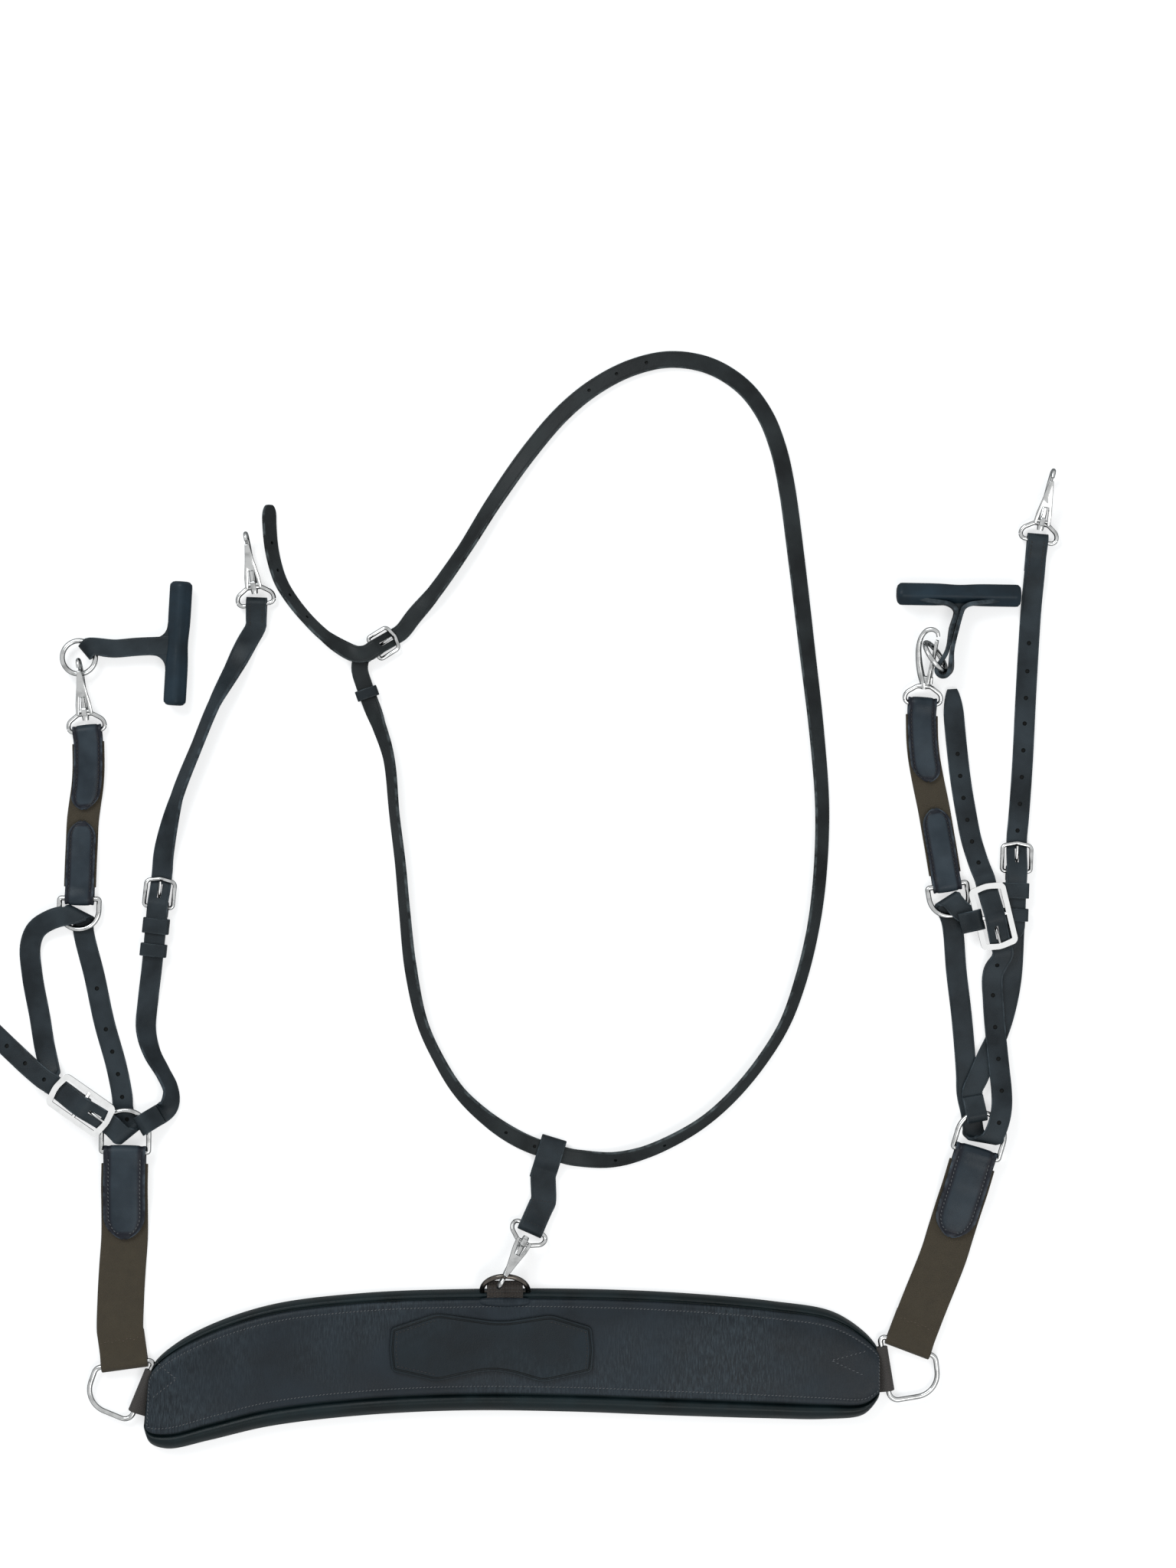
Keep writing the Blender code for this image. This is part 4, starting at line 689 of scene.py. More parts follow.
def group(name, inputs, outputs):
    """A group that takes numbers, or a place where no number is given, and gives numbers."""
    tree = bpy.data.node_groups.new(name, "ShaderNodeTree")
    for label, value in inputs.items():
        kind = "NodeSocketVector" if value is None else "NodeSocketFloat"
        socket = tree.interface.new_socket(label, in_out="INPUT", socket_type=kind)
        if value is not None:
            socket.default_value = value
    for label in outputs:
        tree.interface.new_socket(label, in_out="OUTPUT", socket_type="NodeSocketFloat")
    return tree, tree.nodes.new("NodeGroupInput").outputs


def give(tree, **values):
    """Link what a group gives."""
    end = tree.nodes.new("NodeGroupOutput")
    for label, value in values.items():
        feed(tree, end.inputs[label], value)
    return tree


def hide_grain():
    """Fine creased grain of leather, and its slow changes of tone."""
    tree, given = group("hide grain", {"Place": None, "Cells": 900.0, "Stretch": 1.0},
                        ("Height", "Tone"))
    scale = add(tree, "CombineXYZ", {0: given["Stretch"], 1: 1.0, 2: 1.0})[0]
    spot = stretched(tree, given["Place"], scale)
    cells = add(tree, "TexVoronoi", {"Vector": spot, "Scale": given["Cells"], "Randomness": 1.0},
                feature="DISTANCE_TO_EDGE")["Distance"]
    edges = times(tree, cells, 2.2, clamp=True)
    fine = noise(tree, spot, given["Cells"], 3.0, 0.6)
    creases = noise(tree, spot, times(tree, given["Cells"], 0.16), 4.0, 0.65, 0.6)
    height = times(tree, fine, 0.35, times(tree, edges, 0.3))
    slow = noise(tree, given["Place"], 28.0, 3.0, 0.55)
    return give(tree, Height=times(tree, creases, 0.9, height), Tone=spread(tree, slow, 0.35, 0.7))


def strap_edges():
    """The creased line beside a strap's edge and the lighter edge itself, rubbed by wear and with
    a painted highlight, from its rim value.
    """
    tree, given = group("strap edges", {"Place": None, "Line": 0.8, "Width": 0.05},
                        ("Crease", "Rubbed"))
    rim = rim_value(tree)
    gap = maths(tree, "ABSOLUTE", maths(tree, "SUBTRACT", rim, given["Line"]))
    worn_and_lit = spread(tree, noise(tree, given["Place"], 140.0, 3.0), 0.4, 0.7)
    return give(tree, Crease=maths(tree, "DIVIDE", gap, given["Width"], clamp=True),
                Rubbed=times(tree, spread(tree, rim, 0.86, 1.0), worn_and_lit))


def woven():
    """Ribs along a web and the weft across them, from its own run and width."""
    tree, given = group("woven", {"Ribs": 900.0, "Weft": 1400.0}, ("Height", "Rib"))
    spot = add(tree, "SeparateXYZ", {0: add(tree, "UVMap")[0]})
    wave = maths(tree, "SINE", times(tree, spot[1], given["Ribs"]))
    phase = times(tree, maths(tree, "SIGN", wave), math.pi / 2)
    weft = maths(tree, "SINE", times(tree, spot[0], given["Weft"], phase))
    rib = maths(tree, "ABSOLUTE", wave)
    return give(tree, Height=times(tree, weft, 0.3, times(tree, rib, 0.7)), Rib=rib)


HIDE_BUMP, WEB_BUMP, METAL_BUMP = 0.0004, 0.0005, 0.0001
HIDE_SHINE = 0.16
RUBBED_LIT_GAIN, RUBBED_LIT_LIFT = 2.6, 0.012
METAL_PAINTED_REFLECTION = (0.05, 0.055, 0.055)
GRAIN = hide_grain()
EDGES = strap_edges()
WOVEN = woven()


def sheen_streaks(tree, place, across):
    """Where a painted sheen lies on leather: short fine lighter streaks that lie across it, in
    broad patches.
    """
    streak = noise(tree, stretched(tree, place, across), 1.0, 4.0, 0.65)
    patch = noise(tree, place, 9.0)
    return times(tree, spread(tree, streak, 0.42, 0.72), spread(tree, patch, 0.40, 0.66))


def leather(name, base, high, rough, cells=900.0, grain=0.35, stretch=1.0, strap=True, line=0.82,
            rub_and_highlight=0.5, painted_sheen=None, border=None):
    """Finished leather: grain, slow tone, a creased line, lighter edges from wear and a painted
    highlight, perhaps painted sheen in streaks and a border of painted shade.
    """
    material, tree, place = material_of(name)
    skin = add(tree, "Group", {"Place": place, "Cells": cells, "Stretch": stretch},
               node_tree=GRAIN)
    tone, height = skin["Tone"], skin["Height"]
    colour = mix(tree, times(tree, tone, 0.65), base, high)
    gloss = times(tree, tone, 0.16, rough - 0.06)
    gloss = times(tree, height, 0.06, gloss)
    # Painted sheen: a lighter colour in streaky patches stands in for light caught on the creases;
    # the same mask raises the bump.
    if painted_sheen:
        sheen_colour, across = painted_sheen
        sheen_mask = sheen_streaks(tree, place, across)
        colour = mix(tree, sheen_mask, colour, sheen_colour)
        height = times(tree, sheen_mask, 0.8, height)
    if strap:
        rim = add(tree, "Group", {"Place": place, "Line": line}, node_tree=EDGES)
        # Painted shade: the border beyond the seam is darkened, so the crowned middle reads as a
        # soft highlight.
        if border:
            border_shade, start = border
            band = spread(tree, rim_value(tree), start - 0.14, start)
            colour = mix(tree, band, colour, border_shade)
        # Lighter edges: partly wear, partly a painted highlight on the rounded edge.
        worn_and_lit = tuple(min(1.0, value * RUBBED_LIT_GAIN + RUBBED_LIT_LIFT) for value in high)
        colour = mix(tree, times(tree, rim["Rubbed"], rub_and_highlight), colour, worn_and_lit)
        height = times(tree, rim["Crease"], 1.6, height)
    principled(tree, Base_Color=colour, Roughness=gloss, Specular_IOR_Level=HIDE_SHINE,
               Normal=bump(tree, grain, HIDE_BUMP, height))
    return material


def web(name, base, high, ribs, weft, depth=0.5):
    """Woven tape: ribs, weft, and thread colour that changes a little along it."""
    material, tree, place = material_of(name)
    cloth = add(tree, "Group", {"Ribs": ribs, "Weft": weft}, node_tree=WOVEN)
    slow = noise(tree, place, 120.0, 4.0, 0.7)
    share = times(tree, cloth["Rib"], 0.5, times(tree, slow, 0.6), clamp=True)
    principled(tree, Base_Color=mix(tree, share, base, high), Roughness=0.85,
               Normal=bump(tree, depth, WEB_BUMP, cloth["Height"]), Sheen_Weight=0.25,
               Sheen_Roughness=0.4)
    return material


def metal(name, base, rough, stain):
    """Polished plated metal with faint rubbing, dull patches and a painted dark reflection on its
    sides.
    """
    material, tree, place = material_of(name)
    dull = tuple(value * (1 - stain) for value in base)
    share = spread(tree, noise(tree, place, 160.0, 4.0), 0.45, 0.75)
    plated = mix(tree, share, base, dull)
    # Painted reflection: the colour darkens where the surface turns away from the view, standing
    # in for dark surroundings.
    facing = add(tree, "LayerWeight", {"Blend": 0.5})["Facing"]
    edge = spread(tree, facing, 0.26, 0.78, 0.9)
    principled(tree, Base_Color=mix(tree, edge, plated, METAL_PAINTED_REFLECTION), Metallic=1.0,
               Roughness=times(tree, share, 0.14, rough),
               Normal=bump(tree, 0.05, METAL_BUMP, noise(tree, place, 2600.0)))
    return material


def thread(name, base):
    """Waxed thread, a little lighter along its twist."""
    material, tree, place = material_of(name)
    light = tuple(min(1.0, value * 1.7) for value in base)
    principled(tree, Roughness=0.6,
               Base_Color=mix(tree, noise(tree, place, 1500.0), base, light))
    return material


STRAP_LEATHER = leather("black strap leather", (0.008, 0.012, 0.015), (0.042, 0.056, 0.066), 0.40)
# Its strongly lightened edges include a painted highlight along the rolled strap.
NECK_LEATHER = leather("rolled neck leather", (0.007, 0.009, 0.010), (0.034, 0.042, 0.044), 0.42,
                       line=0.72, rub_and_highlight=0.9)
# The tab leather's darker border is painted shade around a lighter middle.
TAB_LEATHER = leather("blue-black tab leather", (0.016, 0.024, 0.032), (0.052, 0.070, 0.086), 0.36,
                      line=0.80, border=((0.009, 0.011, 0.017), 0.70))
TOGGLE_LEATHER = leather("rolled toggle leather", (0.008, 0.015, 0.021), (0.022, 0.042, 0.060),
                         0.36, stretch=0.5, strap=False)
PAD_LEATHER = leather("soft pad leather", (0.003, 0.007, 0.008), (0.010, 0.022, 0.026), 0.33,
                      cells=800, strap=False)
# The face and patch leathers carry painted sheen in lighter streaks.
FACE_LEATHER = leather("creased face leather", (0.009, 0.013, 0.017), (0.021, 0.030, 0.039), 0.38,
                       cells=700, grain=0.45, stretch=2.2, strap=False,
                       painted_sheen=((0.046, 0.062, 0.074), (900, 130, 60)))
PATCH_LEATHER = leather("stamped patch leather", (0.006, 0.010, 0.013), (0.015, 0.024, 0.031),
                        0.40, cells=800, strap=False,
                        painted_sheen=((0.036, 0.050, 0.060), (500, 160, 60)))
WEBBING = web("grey-brown webbing", (0.018, 0.016, 0.015), (0.060, 0.054, 0.050), 2600, 3600)
ELASTIC_WEB = web("olive elastic", (0.016, 0.012, 0.006), (0.062, 0.048, 0.027), 5200, 3000, 0.6)
STEEL = metal("polished nickel", (0.52, 0.53, 0.53), 0.10, 0.5)
BRIGHT_STEEL = metal("bright buckle plate", (0.82, 0.83, 0.83), 0.14, 0.18)
DARK_STEEL = metal("tarnished nickel", (0.10, 0.09, 0.08), 0.16, 0.5)
BROWN_WEB = web("dark brown web", (0.010, 0.008, 0.006), (0.034, 0.026, 0.021), 1400, 5200, 0.9)
PALE_THREAD = thread("grey thread", (0.060, 0.064, 0.068))
DARK_THREAD = thread("black thread and painted stitch shade", (0.004, 0.004, 0.005))
# Near-black leather that paints shade into holes and grooves.
PAINTED_SHADE = leather("painted shade leather", (0.002, 0.003, 0.003), (0.004, 0.005, 0.005), 0.55,
                   strap=False)
TAN_THREAD = thread("brown thread", (0.060, 0.045, 0.030))


# Hardware

def steel(item, name, body, node):
    piece(item, name, body, STEEL, [node])


def hide(item, name, body, *nodes):
    piece(item, name, body, STRAP_LEATHER, nodes)


def ring_piece(node, place, outline, body, material=STEEL):
    piece(loop_wire(place, outline, RING_WIRE), node + "_wire", body, material, [node])


def snap(name, eye, hook, body, lever_body=None):
    """A cast snap: strap eye, post and hook, with its sprung lever."""
    half, post, end = SNAP_EYE / 2, SNAP_NECK - 0.5, SNAP_LENGTH
    shoulder = SNAP_NECK - 7
    outline = arc_corners([(0, -half, 4), (0, half, 4), (shoulder, half + 1.8, 6.5),
                           (post, 5.5, 5), (post, -5.5, 5), (shoulder, -half - 1.8, 6.5)], 5.0)
    path = [(SNAP_NECK - 5.5, 0, 0), (SNAP_NECK - 1.5, 0, -0.3), (20, 0, -3.2), (31, 0, -5.8),
            (end - 15, 0, -6.8), (end - 7, 0, -5.2), (end - 2, 0, -1.5), (end - 0.8, 0, 3.0),
            (end - 2.5, 0, 6.6), (end - 6, 0, 7.9)]
    radii = [2.4, 2.9, 2.8, 2.5, 2.1, 1.9, 1.9, 1.8, 1.7, 1.4]
    pin_x, _, pin_z = SNAP_PIN
    parts = [loop_wire(eye, outline, SNAP_WIRE), rounded_wire(hook, path, radii),
             block(hook, (SNAP_NECK - 1.4, -2.1, -1.5), (pin_x + 2.8, 2.1, pin_z + 2.8), 0.8),
             rounded_wire(eye, [(post, -5.5, 0), (SNAP_NECK + 0.2, 0, 0.2), (post, 5.5, 0)],
                          [1.7, 2.5, 1.7])]
    steel(joined(parts), name + "_body", body, body + "_frame")
    placed = hook @ frame_at(SNAP_PIN, 0, 6.3)
    reach = end - pin_x - 8.4
    low_side = [(6, -6.0), (20, -3.5), (reach, -1.6)]
    legs = [(-2.8, 6.6), (-2.8, 3.9), (11.5, 2.3), (11.5, -2.3), (-2.8, -3.9), (-2.8, -6.6)]
    legs += low_side + [(x, -y) for x, y in low_side[::-1]]
    lever = [plate(placed, legs, 2.6, 0.7), peg(placed, (0, 0, 0), 2.4, 12.6, bevel=0.5),
             peg(placed, (-0.6, 0, 1.5), 3.6, 2.0, True, 0.8),
             block(placed, (1.5, -1.3, -1.0), (11.0, 1.3, 0.7), 0.4)]
    steel(joined(lever), name + "_gate", lever_body or body + "_lever", body + "_lever")


def tongue(name, place, reach, body, node):
    eye = BUCKLE_WIRE / 2 + FIT + TONGUE_WIRE / 2
    rise = eye + 0.1
    turns = [math.radians(70 + 29 * step) for step in range(11)]
    path = [(eye * math.cos(turn), 0, eye * math.sin(turn)) for turn in turns]
    path += [(reach * 0.25, 0, -eye * 0.25), (reach * 0.55, 0, rise * 0.4), (reach, 0, rise)]
    radii = [TONGUE_WIRE / 2] * (len(path) - 1) + [TONGUE_WIRE / 2 * 0.75]
    steel(rounded_wire(place, path, radii), name, body, node)


def buckle(name, place, size, body, node):
    front, half = size[0], size[1] / 2
    outline = arc_corners([(front, -half, 3.5), (front + BUCKLE_BULGE, 0, 9), (front, half, 3.5),
                           (0, half, 2.5), (0, -half, 2.5)])
    steel(loop_wire(place, outline, BUCKLE_WIRE), name, body, node)


def threaded(place, front, back, shift=0.0):
    """A strap's way over the bar of a buckle and under its front and, if given, its back."""
    over = BUCKLE_WIRE / 2 + FIT + THICK + FIT + HALF
    side = [(0.18, over - 0.4), (0.55, (over - BUCKLE_TURN) / 2 - 0.6), (1.0, -BUCKLE_TURN)]
    rows = [(front + 8, -BUCKLE_TURN)] + [(front * share, z) for share, z in side[::-1]]
    rows.append((0, over))
    if back:
        rows += [(-back * share, z) for share, z in side] + [(-back - 8, -BUCKLE_TURN)]
    else:
        rows.append((-6, over - 0.3))
    return profile(place, rows, shift)


SLOT_HALF = TONGUE_WIRE / 2 + FIT
CHAPE_EYE = BUCKLE_WIRE / 2 + TONGUE_WIRE + 2 * FIT
CHAPE_ROOM = ((-CHAPE_EYE - 3, -SLOT_HALF, -CHAPE_EYE - 1),
              (CHAPE_EYE + 3, SLOT_HALF, CHAPE_EYE + 0.15))


def tongue_slot(strap, place, reach):
    return cut(strap, block(place, (reach * SLOT_START, -SLOT_HALF, -6),
                            (reach * SLOT_START + SLOT_LENGTH, SLOT_HALF, 9)))


def chape_slot(strap, place, room=CHAPE_ROOM):
    return cut(strap, block(place, *room))


def punched(body, strap, rows, holes, more=(), diameter=HOLE):
    """Punch round holes, counted from a strap's point; they stop short of its flesh side, and a
    near-black disc at the bottom of each is painted shade.
    """
    run = lengths(rows)[-1]
    reaches = [run - first - pitch * step for first, pitch, steps in holes for step in steps]
    tools, hole_shades = [], []
    for reach in (*reaches, *more):
        spot, along, normal = spot_on(rows, reach)
        seen = 1.0 if normal.z > 0 else -1.0
        place = Matrix((along, normal.cross(along), normal)).transposed().to_4x4()
        place.translation = spot + normal * (PUNCH_LIFT * seen)
        tools.append(peg(place, (0, 0, 0), diameter, PUNCH_LENGTH, True, sides=16))
        # A near-black disc at the bottom of each hole: painted shade.
        hole_shades.append(peg(place, (0, 0, -HOLE_SHADE_DROP * seen), diameter - 0.1, HOLE_SHADE, True,
                          sides=16))
    piece(joined(hole_shades), body + "_hole_shades", body, PAINTED_SHADE)
    return cut(strap, joined(tools))


def keeper(name, place, height, length, width, body, *nodes):
    """A leather keeper: a short band closed round both straps, with its seam below."""
    half = width / 2 + FIT + KEEPER_THICK / 2
    low, high = -FIT - KEEPER_THICK / 2, height + FIT + KEEPER_THICK / 2
    outline = arc_corners([(-half, low, 1.4), (half, low, 1.4), (half, high, 1.4),
                           (-half, high, 1.4)], 18)
    points = [(0.15, low)] + outline[6:] + outline[:6] + [(-0.15, low)]
    rows = [(place @ Vector((0, y, z)), direction(place, 1, 0, 0)) for y, z in points]
    hide(strap_sheet(rows, length, KEEPER_THICK, bevel=0.4), name, body, *nodes)


# The chest pad

PAD_EDGES = (((-279.5, -24), (-283, -60)), ((-275, -9), (-278, -71)), ((-256, 8), (-264, -75.5)),
             ((-225, 24), (-232, -69)), ((-180, 38), (-185, -58)), ((-110, 46.5), (-113, -49.5)),
             ((-33, 49.5), (-33, -45.6)), ((50, 49.8), (50, -46.5)), ((130, 47), (130, -49.5)),
             ((210, 40), (208, -51.8)), ((256, 32), (250, -52.3)), ((281, 16), (280, -49)),
             ((291, 4), (291, -38)), ((293, -2), (293, -34)))
PAD_THICK = 15.0
PAD_END_THICK = 12.0
PANEL_THICK = 2.4
PATCH_THICK = 2.4
PATCH_CORNERS = ((-89.8, 4.5, 30), (-88.3, 21, 4), (-53, 32.6, 22), (-3, 25.6, 80), (36, 31.4, 22),
                 (67.6, 21.8, 4), (69.4, 4.5, 30), (67.8, -13, 4), (30, -21.4, 20),
                 (-7.5, -10.6, 70), (-52.5, -20.6, 20), (-88, -12.6, 4))
PATCH_BORDER = 1.5
PATCH_SEAM = 5.0
LOW_SEAM, HIGH_SEAM = -0.565, 0.735
PANEL_LOW, PANEL_HIGH = -0.68, 0.85
PAD_STEPS = 12
LOW_ROLL, HIGH_ROLL = 0.31, 0.14
END_ROUNDING, END_TAPER = 8.0, 45.0
LEFT_TOP, LEFT_FOOT = PAD_EDGES[0][0][0], PAD_EDGES[0][1][0]
RIGHT_END = PAD_EDGES[-1][0][0]


def pad_stations(steps):
    tops = [Vector((*top, 0)) for top, _ in PAD_EDGES]
    feet = [Vector((*foot, 0)) for _, foot in PAD_EDGES]
    rows = [(curve_point(tops, index, part / steps), curve_point(feet, index, part / steps))
            for index in range(len(tops) - 1) for part in range(steps)]
    return rows + [(tops[-1], feet[-1])]


def middle_x(row):
    return (row[0].x + row[1].x) / 2


def from_end(row):
    middle = middle_x(row)
    return max(min(middle - (LEFT_TOP + LEFT_FOOT) / 2, RIGHT_END - middle), 0.0)


def pad_thickness(row):
    middle = middle_x(row)
    share = min(max(min(middle - LEFT_FOOT, RIGHT_END - middle) / END_TAPER, 0.0), 1.0)
    return PAD_END_THICK + (PAD_THICK - PAD_END_THICK) * share * (2 - share)


def crown(row, share):
    return pad_thickness(row) * (0.3 + 0.7 * math.sqrt(max(0.0, 1 - abs(share) ** 6)))


def over_pad(row, share, height):
    """A spot over one cross line of the pad: -1 is its foot and 1 its top."""
    spot = row[1].lerp(row[0], (share + 1) / 2)
    return Vector((spot.x, spot.y, height))


def cushion_height(row, share):
    """The cushion's face: a fat roll below the panel, a narrow one above, a groove beside each."""
    height = crown(row, share) - 0.4
    for beyond, inside, slope, swell in (
            (share < LOW_ROLL - 1, (share + 1) / LOW_ROLL, 0.36, 0.52),
            (share > 1 - HIGH_ROLL, (1 - share) / HIGH_ROLL, 0.42, 0.34)):
        if beyond:
            swelled = max(math.sin(math.pi * inside), 0.0) ** 0.8
            height = pad_thickness(row) * (0.30 + slope * inside + swell * swelled)
    near = min(from_end(row) / END_ROUNDING, 1.0)
    return height * (0.45 + 0.55 * math.sqrt(max(0.0, 1 - (1 - near) ** 2)))


def chest_cushion():
    low = [-1 + LOW_ROLL * step / 10 for step in range(11)]
    high = [1 - HIGH_ROLL * step / 7 for step in range(7, -1, -1)]
    shares = low + [-0.64, -0.5, -0.25, 0.0, 0.25, 0.5, 0.7, 0.8] + high
    sections = []
    for row in pad_stations(10):
        section = [over_pad(row, share, cushion_height(row, share)) for share in shares]
        section += [over_pad(row, share, 0.0)
                    for share in (0.96, 0.93, 0.5, 0.0, -0.5, -0.93, -0.96)]
        section[len(shares)].z = section[-1].z = 1.2
        sections.append(section)
    item = piece(loft(sections), "chest_cushion", "pad", PAD_LEATHER, ["pad_backing"])


def panel_top(row, share):
    """The height of the panel's upper face: full between its seams, dipped along them."""
    seat = crown(row, share) + FIT + PANEL_THICK
    middle, half = (LOW_SEAM + HIGH_SEAM) / 2, (HIGH_SEAM - LOW_SEAM) / 2
    reach = abs(share - middle) / half
    if reach <= 1:
        return seat + 0.9 * (1 - reach ** 6) - 0.45
    beyond = (reach - 1) / ((PANEL_HIGH - HIGH_SEAM) / half)
    lip = 0.35 * math.sin(min(beyond, 1.0) * math.pi)
    return seat - 0.45 + lip - 0.8 * max(0.0, beyond - 0.75)


def on_panel(row, share):
    return over_pad(row, share, panel_top(row, share))


def face_panel():
    shares = [PANEL_LOW, -0.672, -0.655, -0.63, -0.6, -0.58, LOW_SEAM, -0.55, -0.53, -0.5, -0.42,
              -0.3, -0.15, 0.0, 0.15, 0.3, 0.45, 0.6, 0.68, 0.71, HIGH_SEAM, 0.75, 0.77, 0.8,
              0.825, 0.842, PANEL_HIGH]
    sections = []
    for row in pad_stations(PAD_STEPS)[6:-6]:
        low = [over_pad(row, share, crown(row, share) + FIT)
               for share in (PANEL_LOW, -0.3, 0.3, PANEL_HIGH)]
        high = [on_panel(row, share) for share in shares]
        high[0].z -= 0.9
        high[-1].z -= 0.9
        sections.append(low + high[::-1])
    piece(loft(sections), "face_panel", "pad", FACE_LEATHER, ["pad_face_panel"])


def row_at(x):
    return min(pad_stations(PAD_STEPS), key=lambda row: abs(middle_x(row) - x))


def panel_spot(x, y):
    row = row_at(x)
    share = 2 * (y - row[1].y) / (row[0].y - row[1].y) - 1
    return Vector((x, y, panel_top(row, share))), UP


def straight_run(start, end):
    return [panel_spot(*(one + (two - one) * step / 14 for one, two in zip(start, end)))
            for step in range(15)]


def panel_seams():
    rows = pad_stations(PAD_STEPS)[9:-8]
    steps = [LOW_SEAM + (HIGH_SEAM - LOW_SEAM) * step / 12 for step in range(13)]
    lines = [[(on_panel(row, share), UP) for row in rows] for share in (LOW_SEAM, HIGH_SEAM)]
    lines += [[(on_panel(row, share), UP) for share in steps] for row in (rows[0], rows[-1])]
    places = [place for line in lines for place in path_seam(line, PANEL_PITCH)]
    for one, apex, two in (((282, 2.6), (254.5, -4.5), (279.5, -16.2)),
                           ((-272, -6.0), (-256, -19.0), (-275, -34.0))):
        for start, end in ((one, apex), (apex, two)):
            places += path_seam(straight_run(start, end), WIDE_PITCH)
    stitching("panel_stitches", "pad", places, PALE_THREAD, 2.3, 0.75, 22)


def inside_line(outline, inset):
    """A closed outline moved inwards, point by point."""
    middle = sum((Vector(spot) for spot in outline), Vector((0, 0))) / len(outline)
    line = []
    for index, spot in enumerate(outline):
        along = Vector(outline[(index + 1) % len(outline)]) - Vector(outline[index - 1])
        inward = Vector((-along.y, along.x)).normalized()
        if inward.dot(middle - Vector(spot)) < 0:
            inward = -inward
        line.append(Vector(spot) + inward * inset)
    return line


def face_patch():
    level = PAD_THICK + FIT + PANEL_THICK + 0.75 + PATCH_THICK / 2
    place = Matrix.Translation((0, 0, level))
    outline = arc_corners(PATCH_CORNERS, 4.0)
    item = plate(place, outline, PATCH_THICK, 0.45, border=PATCH_BORDER, groove=0.9)
    piece(item, "waisted_patch", "pad", PATCH_LEATHER, ["pad_patch"])
    # The groove and side faces take the near-black leather: painted shade along the patch's
    # outline.
    item.data.materials.append(PAINTED_SHADE)
    for face in item.data.polygons:
        face.material_index = 1 if face.normal.z < 0.86 else 0
    top = level + PATCH_THICK / 2
    places = []
    for beyond in (lambda spot: spot.x > 34, lambda spot: spot.x < -53):
        run = [Vector((*spot, top)) for spot in inside_line(outline, PATCH_SEAM) if beyond(spot)]
        gap = max(range(len(run)), key=lambda index: (run[index] - run[index - 1]).length)
        places += path_seam([(spot, UP) for spot in run[gap:] + run[:gap]], PATCH_PITCH)
    # The patch's dark stitches also stand in for the shade along their holes: painted shade.
    stitching("patch_stitches", "pad", places, DARK_THREAD, 2.4, 0.85, 14)


def ring_frame(side, key, level):
    x, y, heading = side[key]
    return frame_at((x, y, level), heading)


def chape(name, place, width, material, node):
    knots = sewn_end(place, RING_WIRE, CHAPE, 15.0)
    knots.append(local(place, 16.0, 0, -(RING_WIRE / 2 + FIT + CHAPE / 2)))
    rows = stations(knots, width, CHAPE, 3.0, 12)
    piece(strap_sheet(rows, width, CHAPE), name, "pad", material, [node])


def centre_flap(place):
    """The centre web's loose fold, which fills the ring, with ribs across it."""
    top = RING_WIRE / 2 + FIT + CHAPE + FIT + 1.1
    line = [(0.8, top), (3.6, top - 0.8), (6.6, 2.6), (9.8, 1.6), (11.8, 0.4), (12.3, -1.0),
            (11.2, -2.2), (8.6, -2.4), (6.2, -2.1)]
    rows = stations(profile(place, line), CENTRE_WEB, 2.0, 0.7, 12)
    rows = [(spot + UP * 0.35 * math.sin(2 * math.pi * run / 3.4), side)
            for (spot, side), run in zip(rows, lengths(rows))]
    piece(strap_sheet(rows, CENTRE_WEB, 2.0, bevel=0.5), "centre_web_fold", "centre_ring",
          BROWN_WEB)


def web_socket():
    """The leather that closes over the centre web's end, bulged and wrinkled by it."""
    sections = []
    for step in range(15):
        share = -1 + 2 * step / 14
        x = 20.5 * share
        full = math.sqrt(max(0.0, 1 - abs(share) ** 5))
        foot = panel_top(row_at(x), 0.80) - 1.2
        rise = 0.6 + 2.6 * full
        low, high = 36.4 + 1.6 * share * share, 44.6 - 0.8 * share * share
        ring = []
        for turn in range(12):
            angle = 2 * math.pi * turn / 12
            y = (low + high) / 2 + (high - low) / 2 * math.cos(angle) * (0.4 + 0.6 * full)
            crease = 0.35 * math.sin(7.0 * math.cos(angle))
            ring.append(Vector((x, y, foot + max(0.0, math.sin(angle)) * (rise + crease))))
        sections.append(ring)
    piece(loft(sections), "web_socket", "pad", FACE_LEATHER)


CENTRE_DEE_PLACE = (0.0, 47.0, CENTRE_DEE_LEVEL)


def centre_dee_frame():
    return frame_at(CENTRE_DEE_PLACE, 90, 45)


def end_dee(name, place, hand, body):
    corners = [(0, -25.7, 7), (0, 26.5, 3), (40.5, 3, 6), (39, -25.7, 18)]
    ring_piece(name, place, arc_corners([(x, y * hand, radius) for x, y, radius in corners]), body)


def shoulder_frame(place, hand):
    return place @ Matrix.Translation((20.9, 14.4 * hand, 0)) @ rotation(59.9 * hand, "Z")


# The neck strap and its snap

